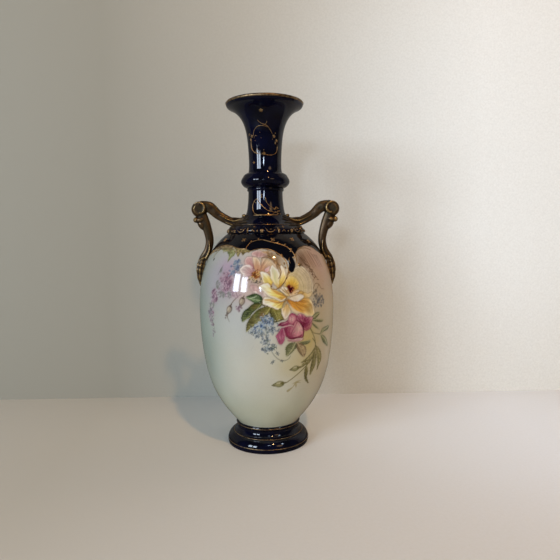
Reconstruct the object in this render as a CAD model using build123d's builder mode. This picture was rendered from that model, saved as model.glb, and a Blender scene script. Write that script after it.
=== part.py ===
"""Two-handled porcelain flower vase, made of slip-cast pieces that are luted together.

Millimetres. +Z is up, X runs from handle to handle, and the painted front faces -Y.
The origin is the centre of the ring that the vase stands on.
"""

import os
from math import asin, degrees

from build123d import *

# ---- Driving dimensions ---------------------------------------------------------------
total_height = 340.0
wall = 4.5  # cast wall of the belly
neck_bore_radius = 11.5  # straight hole of the mouth, where stems are held
lute_gap = 0.3  # room for the joining slip around a spigot, on the radius
handle_gap = 0.05  # slip film between a handle and the vase

# Heights of the seams between the pieces
foot_top = 23.0
belly_top = 212.3
collar_top = 229.5
neck_top = 256.5
knop_top = 271.5

# Joints: a short spigot under each piece drops into the piece below it
spigot_depth = 4.0
socket_radius = 14.2
spigot_radius = socket_radius - lute_gap
channel_radius = 12.0  # way through collar, lower neck and knop

# Foot
ring_section = 9.5  # radius of the round moulding's section
ring_centre = (31.7, 3.0)
stand_inner_radius = 34.7  # inner edge of the ring that it stands on
foot_hole_radius = 22.0
recess_top = 17.0
waist_radius = 30.6
bead_foot = 18.9
bead_height = 1.9  # how far the bead stands out of the waist

# Belly: right-hand outline, from the foot seam to the collar seam
belly_outline = [
    (31.2, 23.0),
    (41.5, 35.2),
    (54.6, 57.0),
    (64.0, 92.0),
    (67.4, 134.0),
    (65.6, 164.0),
    (57.2, 189.8),
    (37.9, 212.3),
]
belly_floor = foot_top + wall
belly_mouth_radius = 33.0

# Collar and neck
collar_radius = 38.4
band_top = 214.8
collar_hole_radius = 27.5
shoulder_edge = (33.0, 220.2)
neck_root_radius = 20.5
neck_waist_radius = 17.1
neck_rim_radius = 17.8
knop_radius = 24.2

# Mouth
mouth_neck_radius = 16.1
lip_radius = 38.2
flare_wall = 3.4
bore_top = 303.0

# Handles, drawn on the right-hand side; the vase's axis is at x = 0
volute_centre = (66.4, 236.2)
volute_radius = 7.2
volute_width = 9.0
disc_radius = 4.6
disc_width = 10.6
arm_spine = [(20.0, 222.6), (32.6, 223.2), (46.6, 230.2), (56.0, 238.2), (66.0, 240.2)]
arm_heights = [6.4, 4.2, 4.4, 4.9, 4.6]  # half sizes across the arm, along its spine
arm_depths = [8.0, 5.2, 4.4, 4.4, 4.2]  # half sizes from front to back
leg_spine = [(65.4, 233.0), (60.8, 222.6), (56.1, 205.0), (58.9, 190.6), (63.6, 181.6)]
leg_widths = [4.8, 4.6, 3.8, 3.6, 3.9]
leg_depths = [4.2, 4.3, 4.0, 3.8, 4.0]
bead_place = (62.3, 185.2)
bead_lean = -33.0  # turn about Y that squares the bead to the leg
bead_radius = 4.6
bead_thickness = 4.4
bud_place = (69.2, 225.9)
bud_radius = 2.9
leaf_spine = [(62.9, 184.0), (65.6, 176.0), (66.8, 168.0), (66.6, 159.6)]
leaf_widths = [3.2, 3.0, 2.1, 0.6]
leaf_depths = [4.0, 4.8, 3.6, 0.8]

os.makedirs("parts", exist_ok=True)


# ---- Shared shapes --------------------------------------------------------------------
def moved_out(points, gap):
    """The same (radius, height) points, further from the axis."""
    return [(radius + gap, height) for radius, height in points]


def collar_side(gap=0.0):
    """Draws the collar's side: a square band, a step, a cone and a hollow up to the neck."""
    band = [
        belly_outline[-1],
        (collar_radius, belly_top + 0.5),
        (collar_radius, band_top),
        (collar_radius - 1.2, band_top + 0.8),
        shoulder_edge,
    ]
    hollow = [shoulder_edge, (25.6, 224.6), (neck_root_radius, collar_top)]
    Polyline(*moved_out(band, gap))
    ThreePointArc(*moved_out(hollow, gap))


def lower_neck_side(gap=0.0):
    """Draws the lower neck's hollow side, with a small ring at its top."""
    ring_foot = (neck_waist_radius, neck_top - 3.2)
    hollow = [(neck_root_radius, collar_top), (18.0, 238.6), ring_foot]
    ring = [ring_foot, (neck_rim_radius + 0.5, neck_top - 1.6), (neck_rim_radius, neck_top)]
    Spline(*moved_out(hollow, gap), tangents=[(-0.62, 1), (0, 1)])
    ThreePointArc(*moved_out(ring, gap))


def vase_outline(gap):
    """Half section of all that a handle can touch, grown by a gap: belly, collar and neck."""
    with BuildLine() as outline:
        Spline(*moved_out(belly_outline, gap))
        collar_side(gap)
        lower_neck_side(gap)
        Polyline(
            (neck_rim_radius + gap, neck_top),
            (0, neck_top),
            (0, foot_top),
            (belly_outline[0][0] + gap, foot_top),
        )
    make_face(outline.edges())


def button(centre, radius, width, rounding):
    """A round-edged disc that faces front and back, at a place in the handle's plane."""
    x, z = centre
    with BuildSketch(Plane.XY.offset(z)) as half:
        with Locations((x + radius / 2, 0)):
            Rectangle(radius, width)
        fillet(half.vertices().group_by(Axis.X)[-1], rounding)
    revolve(half.sketch, axis=Axis((x, 0, z), (0, 1, 0)))


def inset(curve, distance, shares):
    """Points at this distance to the left of a curve, at these shares of its length."""
    return [curve @ share + (curve % share).rotate(Axis.Z, 90) * distance for share in shares]


def limb(spine_points, heights, depths):
    """A solid limb in the handle's plane: ellipses along a spine, lofted."""
    with BuildLine(Plane.XZ) as spine:
        Spline(*spine_points)
    curve = spine.line
    last = len(heights) - 1
    sections = []
    for i, (height, depth) in enumerate(zip(heights, depths)):
        station = Plane(origin=curve @ (i / last), x_dir=(0, 1, 0), z_dir=curve % (i / last))
        with BuildSketch(station) as section:
            Ellipse(depth, height)
        sections.append(section.sketch)
    loft(sections)


def spigot(height, hole_radius):
    """The short tube under a neck piece that drops into the socket below it."""
    with BuildSketch(Plane.XY.offset(height - spigot_depth)) as ring:
        Circle(spigot_radius)
        Circle(hole_radius, mode=Mode.SUBTRACT)
    extrude(ring.sketch, amount=spigot_depth + 0.5)


def socket(height):
    """The shouldered hole in the top of a neck piece that takes the next spigot."""
    with BuildSketch(Plane.XY.offset(height)) as mouth_of_socket:
        Circle(socket_radius)
    extrude(mouth_of_socket.sketch, amount=-spigot_depth - lute_gap, mode=Mode.SUBTRACT)


# ---- Foot: hollow round moulding, waist and bead --------------------------------------
floor_angle = degrees(asin(ring_centre[1] / ring_section))  # below level, where z is 0
with BuildPart() as foot:
    with BuildSketch(Plane.XZ):
        with BuildLine():
            ring = CenterArc(ring_centre, ring_section, -floor_angle, floor_angle + 74)
            waist = ThreePointArc(ring @ 1, (31.4, 14.3), (waist_radius, bead_foot))
            bead = ThreePointArc(
                waist @ 1,
                (waist_radius + bead_height, (bead_foot + foot_top) / 2),
                (waist_radius, foot_top),
            )
            Polyline(bead @ 1, (foot_hole_radius, foot_top), (foot_hole_radius, recess_top))
            recess = ThreePointArc(
                (foot_hole_radius, recess_top), (25.5, 7.0), (stand_inner_radius, 0)
            )
            Line(recess @ 1, ring @ 0)
        make_face()
    revolve(axis=Axis.Z)
foot.part.label = "foot"

# ---- Belly: egg-shaped shell with a closed floor and a locating ring ------------------
with BuildPart() as belly:
    with BuildSketch(Plane.XZ):
        with BuildLine():
            side = Spline(*belly_outline)
            mouth_foot = (belly_mouth_radius, belly_top - spigot_depth - 1.5)
            Polyline(side @ 1, (belly_mouth_radius, belly_top), mouth_foot)
            inner = Spline(
                mouth_foot,
                *inset(side, wall, (0.9, 0.8, 0.7, 0.6, 0.5, 0.4, 0.3, 0.2, 0.1)),
                (33.5, 31.5),
                (24.0, belly_floor),
            )
            Polyline(inner @ 1, (0, belly_floor), (0, foot_top), side @ 0)
        make_face()
    revolve(axis=Axis.Z)
    with BuildSketch(Plane.XY.offset(foot_top - spigot_depth)):
        Circle(foot_hole_radius - lute_gap)
        Circle(foot_hole_radius - wall, mode=Mode.SUBTRACT)
    extrude(amount=spigot_depth + 0.5)
belly.part.label = "belly"

# ---- Collar: stepped ring, with a spigot in the belly's mouth -------------------------
with BuildPart() as shoulder_collar:
    with BuildSketch(Plane.XZ):
        with BuildLine():
            collar_side()
            Polyline(
                (neck_root_radius, collar_top),
                (channel_radius, collar_top),
                (channel_radius, 224.4),
            )
            Spline(
                (channel_radius, 224.4),
                (20.5, 219.4),
                (collar_hole_radius, belly_top - spigot_depth),
                tangents=[(1, -0.5), (0, -1)],
            )
            Polyline(
                (collar_hole_radius, belly_top - spigot_depth),
                (belly_mouth_radius - lute_gap, belly_top - spigot_depth),
                (belly_mouth_radius - lute_gap, belly_top),
                belly_outline[-1],
            )
        make_face()
    revolve(axis=Axis.Z)
    socket(collar_top)
shoulder_collar.part.label = "shoulder_collar"

# ---- Lower neck: waisted tube ---------------------------------------------------------
with BuildPart() as lower_neck:
    with BuildSketch(Plane.XZ):
        with BuildLine():
            lower_neck_side()
            Polyline(
                (neck_rim_radius, neck_top),
                (channel_radius, neck_top),
                (channel_radius, collar_top),
                (neck_root_radius, collar_top),
            )
        make_face()
    revolve(axis=Axis.Z)
    spigot(collar_top, channel_radius)
    socket(neck_top)
lower_neck.part.label = "lower_neck"

# ---- Knop: round bulge ----------------------------------------------------------------
with BuildPart() as neck_knop:
    with BuildSketch(Plane.XZ):
        with BuildLine():
            bulge = Spline(
                (neck_rim_radius, neck_top),
                (22.0, 258.9),
                (knop_radius, 263.4),
                (22.2, 267.9),
                (neck_rim_radius, knop_top),
                tangents=[(1, 0.3), (-1, 0.45)],
            )
            Polyline(
                bulge @ 1, (channel_radius, knop_top), (channel_radius, neck_top), bulge @ 0
            )
        make_face()
    revolve(axis=Axis.Z)
    spigot(neck_top, channel_radius)
    socket(knop_top)
neck_knop.part.label = "neck_knop"

# ---- Mouth: upper neck that flares to a rounded lip -----------------------------------
with BuildPart() as mouth:
    with BuildSketch(Plane.XZ):
        with BuildLine():
            flare = Spline(
                (17.1, knop_top),
                (mouth_neck_radius, 277.5),
                (16.6, 294.3),
                (19.3, 314.5),
                (25.8, 327.6),
                (35.0, 334.4),
                (lip_radius, 338.4),
                tangents=[(-0.5, 1), (0.15, 1)],
            )
            lip = ThreePointArc(
                flare @ 1,
                (lip_radius - 1.2, total_height),
                (lip_radius - 2.6, 338.6),
            )
            Spline(
                lip @ 1,
                *inset(flare, flare_wall, (0.86, 0.75, 0.62)),
                (neck_bore_radius, bore_top),
                tangents=[(-0.5, -1), (0, -1)],
            )
            Polyline(
                (neck_bore_radius, bore_top), (neck_bore_radius, knop_top), flare @ 0
            )
        make_face()
    revolve(axis=Axis.Z)
    spigot(knop_top, neck_bore_radius)
mouth.part.label = "mouth"

# ---- Right handle: arm, volute, bud, leg, bead and leaf, cut to sit on the vase -------
with BuildPart() as right_handle:
    limb(arm_spine, arm_heights, arm_depths)
    limb(leg_spine, leg_widths, leg_depths)
    limb(leaf_spine, leaf_widths, leaf_depths)
    button(volute_centre, volute_radius, volute_width, 2.2)
    button(volute_centre, disc_radius, disc_width, 0.7)
    with Locations((bud_place[0], 0, bud_place[1])):
        Sphere(bud_radius)
    with Locations(Location((bead_place[0], 0, bead_place[1]), (0, bead_lean, 0))):
        Cylinder(bead_radius, bead_thickness)
    with BuildSketch(Plane.XZ):
        vase_outline(handle_gap)
    revolve(axis=Axis.Z, mode=Mode.SUBTRACT)
right_handle.part.label = "right_handle"

# ---- Left handle: the mirror image ----------------------------------------------------
with BuildPart() as left_handle:
    mirror(right_handle.part, about=Plane.YZ)
left_handle.part.label = "left_handle"

# ---- Write each piece -----------------------------------------------------------------
pieces = (
    foot,
    belly,
    shoulder_collar,
    lower_neck,
    neck_knop,
    mouth,
    left_handle,
    right_handle,
)
for piece in pieces:
    export_step(piece.part, f"parts/{piece.part.label}.step")
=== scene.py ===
from functools import partial
from math import cos, degrees, pi, radians, sin

import bmesh
import bpy
import numpy as np
from mathutils import Matrix, Vector


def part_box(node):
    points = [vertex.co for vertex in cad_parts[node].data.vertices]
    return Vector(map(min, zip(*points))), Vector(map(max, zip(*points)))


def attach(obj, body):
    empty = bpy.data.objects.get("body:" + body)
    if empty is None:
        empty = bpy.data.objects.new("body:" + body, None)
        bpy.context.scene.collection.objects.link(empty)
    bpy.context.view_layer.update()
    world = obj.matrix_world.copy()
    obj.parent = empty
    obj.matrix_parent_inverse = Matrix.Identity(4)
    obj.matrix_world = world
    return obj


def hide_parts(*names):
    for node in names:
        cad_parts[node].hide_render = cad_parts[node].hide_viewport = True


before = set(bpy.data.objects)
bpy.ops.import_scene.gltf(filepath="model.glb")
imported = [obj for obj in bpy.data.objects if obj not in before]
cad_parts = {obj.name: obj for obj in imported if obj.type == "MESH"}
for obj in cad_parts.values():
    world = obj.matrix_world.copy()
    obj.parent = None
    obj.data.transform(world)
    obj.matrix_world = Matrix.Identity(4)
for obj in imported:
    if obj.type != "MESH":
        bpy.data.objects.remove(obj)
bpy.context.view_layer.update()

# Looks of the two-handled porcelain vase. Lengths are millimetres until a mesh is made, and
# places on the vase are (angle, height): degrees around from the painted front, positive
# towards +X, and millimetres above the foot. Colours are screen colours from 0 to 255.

MM = 0.001
BODY = "root"
rng = np.random.default_rng(7)

COBALT = (5, 6, 17)
CREAM = (236, 232, 214)


# ---- The vase's side, measured on the CAD nodes ------------------------------------------
STACK = ("foot", "belly", "shoulder_collar", "lower_neck", "neck_knop", "mouth")
TOP = 339.95  # just under the lip's top
SIDE_STEP = 0.2
OUTSIDE = 0.2  # metres from the axis, clear of the whole vase


def first_hit(name, start, direction):
    """Distance from the axis, in mm, where a level ray first meets a node; 0 if it misses."""
    hit, point, _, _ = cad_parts[name].ray_cast(Vector(start), Vector(direction))
    return abs(point.x) / MM if hit else 0.0


def measured_side():
    """Heights and outside radii of the whole vase, in mm."""
    heights = np.arange(SIDE_STEP / 2, TOP, SIDE_STEP)
    radii = np.zeros_like(heights)
    for name in STACK:
        low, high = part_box(name)
        for i, height in enumerate(heights * MM):
            if low.z < height < high.z:
                radii[i] = max(radii[i], first_hit(name, (OUTSIDE, 0.0001, height), (-1, 0, 0)))
    return heights, radii


SIDE_Z, SIDE_R = measured_side()
SIDE_UP = np.concatenate(([0], np.cumsum(np.hypot(np.diff(SIDE_Z), np.diff(SIDE_R)))))


def radius_at(height):
    return np.interp(height, SIDE_Z, SIDE_R)


def climb_at(height):
    """Distance up the vase's side, along its outline, at a height."""
    return np.interp(height, SIDE_Z, SIDE_UP)


def on_vase(angle, height, right=0.0, up=0.0, lift=0.0):
    """Points this far right of and up from a place on the vase, lifted off it, in mm."""
    height = np.interp(climb_at(height) + np.asarray(up, float), SIDE_UP, SIDE_Z)
    radius = radius_at(height)
    slope = radius_at(height + 0.5) - radius_at(height - 0.5)
    flat = 1 / np.sqrt(1 + slope**2)
    turn = np.radians(angle) + np.asarray(right, float) / radius
    out = radius + lift * flat
    place = (out * np.sin(turn), -out * np.cos(turn), height - lift * slope * flat)
    return np.stack(np.broadcast_arrays(*place), -1)


# ---- Curves, noise and colour arithmetic -------------------------------------------------
def through(points, steps=8, closed=False):
    """Points along a smooth curve through the given ones."""
    p = np.asarray(points, float)
    if closed:
        start, after = p, np.roll(p, -1, 0)
        before, last = np.roll(p, 1, 0), np.roll(p, -2, 0)
    else:
        start, after = p[:-1], p[1:]
        before = np.vstack((2 * p[0] - p[1], p[:-2]))
        last = np.vstack((p[2:], 2 * p[-1] - p[-2]))
    t = (np.arange(steps) / steps)[:, None, None]
    bend = (2 * before - 5 * start + 4 * after - last) * t**2
    twist = (3 * start - before - 3 * after + last) * t**3
    curve = 0.5 * (2 * start + (after - before) * t + bend + twist)
    curve = curve.transpose(1, 0, 2).reshape(-1, p.shape[1])
    return curve if closed else np.vstack((curve, p[-1]))


def spread(values, count):
    """A few values stretched evenly over this many."""
    return np.interp(np.linspace(0, 1, count), np.linspace(0, 1, len(values)), values)


def full_turn(count):
    """This many bearings, evenly round a circle."""
    return np.linspace(0, 2 * pi, count + 1)[:-1]


def smooth(low, high, value):
    t = np.clip((value - low) / (high - low), 0, 1)
    return t * t * (3 - 2 * t)


def blend(a, b, share):
    a, b = np.asarray(a, float), np.asarray(b, float)
    return a + (b - a) * np.asarray(share)[..., None]


def linear(colour):
    """A 0 to 255 screen colour as linear light."""
    c = np.clip(np.asarray(colour, float) / 255, 0, 1)
    return np.where(c <= 0.04045, c / 12.92, ((c + 0.055) / 1.055) ** 2.4)


LATTICE_SIZE = 64
LATTICE = rng.random((LATTICE_SIZE, LATTICE_SIZE))


def grain(x, y, size, layer=0):
    """Smooth noise from 0 to 1, with features of about this size."""
    x = np.asarray(x) / size + 500 + 11.3 * layer
    y = np.asarray(y) / size + 500 + 7.1 * layer
    i, j = np.floor(x).astype(int), np.floor(y).astype(int)
    u, v = smooth(0, 1, x - i), smooth(0, 1, y - j)
    i, j, after_i, after_j = (k % LATTICE_SIZE for k in (i, j, i + 1, j + 1))
    low = LATTICE[i, j] * (1 - u) + LATTICE[after_i, j] * u
    high = LATTICE[i, after_j] * (1 - u) + LATTICE[after_i, after_j] * u
    return low * (1 - v) + high * v


# ---- Mesh helpers ------------------------------------------------------------------------
def ring_faces(rings, around, first=0, wrap=False):
    """Quads between rings of points, and a face over each end unless the rings close up."""
    faces = []
    for i in range(rings if wrap else rings - 1):
        a, b = first + i * around, first + (i + 1) % rings * around
        faces += [(a + j, a + (j + 1) % around, b + (j + 1) % around, b + j) for j in range(around)]
    if not wrap:
        faces.append(tuple(range(first, first + around)))
        faces.append(tuple(range(first + (rings - 1) * around, first + rings * around)))
    return faces


def make_mesh(name, points, faces):
    """A smooth-shaded mesh, from points in mm, with its faces turned outward."""
    mesh = bpy.data.meshes.new(name)
    mesh.from_pydata((np.asarray(points) * MM).tolist(), [], faces)
    tidy = bmesh.new()
    tidy.from_mesh(mesh)
    bmesh.ops.recalc_face_normals(tidy, faces=tidy.faces)
    tidy.to_mesh(mesh)
    tidy.free()
    mesh.polygons.foreach_set("use_smooth", [True] * len(mesh.polygons))
    mesh.set_sharp_from_angle(angle=radians(50))
    return mesh


def make_piece(name, mesh, material):
    """A piece that rides on the vase."""
    piece = bpy.data.objects.new(name, mesh)
    bpy.context.scene.collection.objects.link(piece)
    mesh.materials.clear()
    mesh.materials.append(material)
    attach(piece, BODY)
    return piece


class Shells:
    """Closed shells gathered into one mesh."""

    def __init__(self):
        self.points, self.faces, self.count = [], [], 0

    def add(self, rings):
        """One shell from an array of rings of points."""
        rings = np.asarray(rings)
        self.faces += ring_faces(rings.shape[0], rings.shape[1], self.count)
        self.points.append(rings.reshape(-1, 3))
        self.count += rings.shape[0] * rings.shape[1]

    def mesh(self, name):
        return make_mesh(name, np.vstack(self.points), self.faces)


# ---- Material helpers ----------------------------------------------------------------------
class Nodes:
    """A short way to wire a node material."""

    def __init__(self, name):
        self.material = bpy.data.materials.new(name)
        self.material.use_nodes = True
        self.tree = self.material.node_tree
        self.shader = self.tree.nodes["Principled BSDF"]
        self.place = self.add("TexCoord").outputs["Object"]

    def add(self, kind, **settings):
        node = self.tree.nodes.new("ShaderNode" + kind)
        for key, value in settings.items():
            setattr(node, key, value)
        return node

    def link(self, source, target):
        if isinstance(source, bpy.types.NodeSocket):
            self.tree.links.new(source, target)
        else:
            target.default_value = source

    def noise(self, scale, detail=2.0, roughness=0.5, stretch=None):
        """Noise with features of about this many mm."""
        node = self.add("TexNoise")
        place = self.place
        if stretch:
            mapping = self.add("Mapping")
            mapping.inputs["Scale"].default_value = stretch
            self.link(place, mapping.inputs["Vector"])
            place = mapping.outputs["Vector"]
        self.link(place, node.inputs["Vector"])
        node.inputs["Scale"].default_value = 1 / (scale * MM)
        node.inputs["Detail"].default_value = detail
        node.inputs["Roughness"].default_value = roughness
        return node.outputs["Fac"]

    def cracks(self, scale):
        """Distance to the edges of random cells of about this many mm."""
        node = self.add("TexVoronoi", feature="DISTANCE_TO_EDGE")
        self.link(self.place, node.inputs["Vector"])
        node.inputs["Scale"].default_value = 1 / (scale * MM)
        return node.outputs["Distance"]

    def attribute(self, name, output="Fac"):
        return self.add("Attribute", attribute_name=name).outputs[output]

    def fit(self, value, low, high, to_low=0.0, to_high=1.0):
        """A value's range stretched to another, and held inside it."""
        node = self.add("MapRange")
        self.link(value, node.inputs["Value"])
        for key, number in zip(("From Min", "From Max", "To Min", "To Max"), (low, high, to_low, to_high)):
            node.inputs[key].default_value = number
        return node.outputs["Result"]

    def maths(self, operation, a, b=0.0):
        node = self.add("Math", operation=operation)
        self.link(a, node.inputs[0])
        self.link(b, node.inputs[1])
        return node.outputs[0]

    def mix(self, share, a, b):
        """Colour a turning to colour b as share goes from 0 to 1."""
        node = self.add("Mix", data_type="RGBA")
        self.link(share, node.inputs["Factor"])
        for value, target in ((a, node.inputs[6]), (b, node.inputs[7])):
            if isinstance(value, tuple):
                target.default_value = (*linear(value), 1)
            else:
                self.link(value, target)
        return node.outputs[2]

    def bump(self, height, depth, strength=1.0):
        """Bump of this depth in mm."""
        node = self.add("Bump")
        self.link(height, node.inputs["Height"])
        node.inputs["Distance"].default_value = depth * MM
        node.inputs["Strength"].default_value = strength
        return node.outputs["Normal"]

    def surface(self, **inputs):
        """Sets or links the shader's inputs, named with _ for a space."""
        for key, value in inputs.items():
            self.link(value, self.shader.inputs[key.replace("_", " ")])
        return self.material


def glaze_finish(nodes, colour, slack=0.0, shine=1.6):
    """The wet-looking fired glaze that cobalt and painting share."""
    ripple = nodes.noise(13, 1.0)
    pits = nodes.noise(0.7, 2.0)
    height = nodes.maths("ADD", nodes.maths("MULTIPLY", ripple, 5.0), pits)
    smear = nodes.fit(nodes.noise(22, 3.0), 0.35, 0.75, 0.04 + slack, 0.11 + slack)
    return nodes.surface(
        Base_Color=colour, Roughness=smear, Normal=nodes.bump(height, 0.009, 0.5), IOR=shine,
    )


def painted_glaze():
    """Glaze over the painting: stained, crazed and brushed only where pale, and dimmer at the rim."""
    nodes = Nodes("painted_glaze")
    paint = nodes.attribute("paint", "Color")
    pale = nodes.fit(nodes.attribute("paint"), 0.02, 0.30)
    bloom = nodes.maths("MULTIPLY", nodes.fit(nodes.noise(14, 3.0), 0.3, 0.7, 0.0, 0.08), pale)
    crazing = nodes.maths("MULTIPLY", nodes.fit(nodes.cracks(6), 0.0, 0.014, 0.08, 0.0), pale)
    brush = nodes.maths("MULTIPLY", nodes.fit(nodes.noise(1.1, 3.0, 0.7), 0.35, 0.7, 0.0, 0.10), pale)
    stained = nodes.mix(bloom, paint, (204, 186, 150))
    crazed = nodes.mix(crazing, stained, (110, 96, 78))
    glaze_finish(nodes, nodes.mix(brush, crazed, (240, 236, 224)))
    rim = nodes.add("LayerWeight").outputs["Facing"]
    return nodes.surface(Specular_IOR_Level=nodes.fit(rim, 0.62, 0.9, 0.5, 0.1))


def cobalt_glaze(name, inside=None):
    """Cobalt glaze outside; inside, if given, is the colour where the wall faces the axis."""
    nodes = Nodes(name)
    pooled = nodes.mix(nodes.fit(nodes.noise(11, 3.0), 0.35, 0.7), COBALT, (8, 11, 36))
    specks = nodes.fit(nodes.noise(0.55, 1.0), 0.70, 0.78, 0.0, 0.35)
    colour = nodes.mix(specks, pooled, (70, 60, 50))
    if inside:
        normal = nodes.add("NewGeometry").outputs["Normal"]
        flat = nodes.add("VectorMath", operation="MULTIPLY")
        nodes.link(nodes.place, flat.inputs[0])
        flat.inputs[1].default_value = (1, 1, 0)
        outward = nodes.add("VectorMath", operation="NORMALIZE")
        nodes.link(flat.outputs[0], outward.inputs[0])
        facing = nodes.add("VectorMath", operation="DOT_PRODUCT")
        nodes.link(outward.outputs[0], facing.inputs[0])
        nodes.link(normal, facing.inputs[1])
        inner = nodes.fit(facing.outputs["Value"], -0.06, -0.24)
        stain = nodes.mix(nodes.fit(nodes.noise(16, 3.0), 0.4, 0.7), inside, (206, 196, 172))
        colour = nodes.mix(inner, colour, stain)
    return glaze_finish(nodes, colour, slack=-0.025, shine=1.5)


def gold(name, bright, dull, base, roughness=0.3):
    """Fired gold: bright where rubbed, dull where thin, with the base colour in its pits."""
    nodes = Nodes(name)
    rubbed = nodes.mix(nodes.fit(nodes.noise(3.2, 3.0), 0.35, 0.65), dull, bright)
    colour = nodes.mix(nodes.fit(nodes.noise(0.9, 2.0), 0.64, 0.74, 0.0, 0.7), rubbed, base)
    return nodes.surface(
        Base_Color=colour, Metallic=0.85,
        Roughness=nodes.fit(nodes.noise(1.6, 3.0), 0.3, 0.7, roughness - 0.08, roughness + 0.14),
        Normal=nodes.bump(nodes.noise(0.5, 2.0), 0.05, 0.5),
    )


def antique_gold(name="antique_gold", dulled=0.0):
    """The handles' gold: the ridge attribute says where fingers have kept it bright."""
    nodes = Nodes(name)
    ridge = nodes.maths("SUBTRACT", nodes.attribute("ridge"), dulled)
    uneven = nodes.maths("ADD", ridge, nodes.fit(nodes.noise(2.6, 4.0, 0.7), 0.25, 0.75, -0.25, 0.25))
    brown = nodes.mix(nodes.fit(uneven, 0.1, 0.6), (42, 31, 20), (92, 70, 44))
    bright = nodes.mix(nodes.fit(uneven, 0.72, 1.10), brown, (190, 158, 102))
    olive = nodes.mix(nodes.fit(nodes.noise(7, 2.0), 0.45, 0.7, 0.0, 0.4), bright, (72, 68, 44))
    return nodes.surface(
        Base_Color=olive, Metallic=0.6, Roughness=nodes.fit(uneven, 0.1, 0.9, 0.44, 0.26),
        Normal=nodes.bump(nodes.noise(0.8, 3.0), 0.10, 0.6),
    )


# ---- Painting tools ----------------------------------------------------------------------
class Canvas:
    """The belly's painting: a colour at each point of its side, laid on with soft brushes.

    A brush works in mm right of and up from a place on the belly."""

    def __init__(self, angles, heights):
        self.angles, self.climb, self.radius = angles, climb_at(heights), radius_at(heights)
        self.heights = heights
        self.colour = np.zeros((len(heights), len(angles), 3))

    def around(self, place, reach):
        """The part of the canvas within reach of a place: its window, and mm right and up."""
        angle, height = place
        up = self.climb - climb_at(height)
        rows = slice(*np.searchsorted(up, (-reach, reach)))
        widest = degrees(reach / max(self.radius[rows].min(), 20))
        cols = slice(*np.searchsorted(self.angles, (angle - widest, angle + widest)))
        right = np.radians(self.angles[cols] - angle)[None] * self.radius[rows][:, None]
        return (rows, cols), right, np.broadcast_to(up[rows][:, None], right.shape)

    def held(self, place, *names):
        """These brushes, held at one place."""
        return [partial(getattr(self, name), place) for name in names]

    def lay(self, window, colour, cover):
        self.colour[window] = blend(self.colour[window], colour, np.clip(cover, 0, 1))

    def wash(self, place, right, up, colour, strength, tilt=0.0, at=(0.0, 0.0)):
        """A soft oval tint with these half sizes."""
        window, x, y = self.around(place, 2.2 * max(right, up) + np.hypot(*at))
        x, y = turned(x - at[0], y - at[1], -tilt)
        away = (x / right) ** 2 + (y / up) ** 2
        self.lay(window, colour, strength * np.exp(-away * (0.7 + 0.6 * grain(x, y, 0.5 * right))))

    def petal(self, place, outline, root, colours, folds=0.13, shadow=0.16, lip=0.45, line=0.3):
        """A petal: root, middle and rim colours away from its root, then its dark line colour."""
        inner, middle, rim, dark = colours
        curve = through(outline, closed=True)
        window, x, y = self.around(place, np.abs(curve).max() + 4)
        depth = inside(x, y, curve) + 0.7 * (grain(x, y, 1.7) - 0.5)
        away = np.hypot(x - root[0], y - root[1])
        bearing = np.arctan2(y - root[1], x - root[0])
        streak = 0.6 * grain(bearing * 8, away / 9, 1.0, root[0]) + 0.4 * grain(bearing * 21, away / 6, 1.0)
        share = away / np.hypot(*(curve - root).T).max() + 0.3 * (streak - 0.5)
        colour = blend(inner, middle, smooth(0.02, 0.42, share))
        colour = blend(colour, rim, smooth(0.4, 0.88, share))
        colour = colour * (1 + 1.3 * folds * (2 * streak[..., None] - 1))
        colour = blend(colour, WHITE, lip * smooth(2.2, 0.5, depth) * smooth(0.35, 0.8, share))
        self.lay(window, dark, 0.7 * shadow * smooth(-1.7, 0.3, depth))
        self.lay(window, colour, smooth(-0.35, 0.35, depth))
        self.lay(window, dark, line * (1 - smooth(0.05, 0.55, np.abs(depth - 0.05))))

    def leaf(self, place, outline, stalk, tip, colours, veins=3.0, shadow=0.3):
        """A leaf in dark, middle and light green, with a midrib from stalk to tip."""
        dark, middle, light = colours
        curve = through(outline, closed=True)
        window, x, y = self.around(place, np.abs(curve).max() + 4)
        heading = np.subtract(tip, stalk) / np.hypot(*np.subtract(tip, stalk))
        along = (x - stalk[0]) * heading[0] + (y - stalk[1]) * heading[1]
        teeth = np.abs((along / (0.7 * veins)) % 1 - 0.5)
        depth = inside(x, y, curve) + 0.9 * (teeth - 0.25)
        aside = (y - stalk[1]) * heading[0] - (x - stalk[0]) * heading[1]
        length = np.hypot(*np.subtract(tip, stalk))
        aside = aside - 0.05 * length * np.sin(pi * np.clip(along / length, 0, 1))
        mottle = smooth(0.15, 0.85, grain(x, y, 2.6, tip[0]))
        colour = blend(middle, light, smooth(0.0, 2.5, aside) * (0.15 + 0.85 * mottle))
        colour = blend(colour, dark, smooth(0.0, -3.5, aside) * (0.3 + 0.5 * mottle))
        rib = np.cos(2 * pi * (along - 0.9 * np.abs(aside) + 1.6 * mottle) / veins)
        colour = blend(colour, dark, 0.5 * smooth(0.5, 1.0, rib) * smooth(0.2, 0.7, grain(x, y, 1.6)))
        colour = blend(colour, light, 0.35 * smooth(-0.7, -1.0, rib))
        colour = blend(colour, dark, 0.75 * smooth(1.5, 0.1, depth))
        colour = blend(colour, light, 0.8 * smooth(0.55, 0.15, np.abs(aside)))
        self.lay(window, dark, 0.6 * shadow * smooth(-1.6, 0.3, depth))
        self.lay(window, colour, smooth(-0.3, 0.35, depth))

    def stroke(self, place, points, widths, colour, cover=0.9):
        """A brush line through points, with widths spread along it."""
        path = through(points, 6)
        window, x, y = self.around(place, np.abs(path).max() + 4)
        step = np.diff(path, axis=0)
        gap, _, _ = gaps(x, y, path[:-1], step)
        nearest = gap.argmin(-1)
        width = spread(widths, len(step))[nearest] / 2
        self.lay(window, colour, cover * smooth(0.35, -0.35, gap.min(-1) - width))

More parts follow.
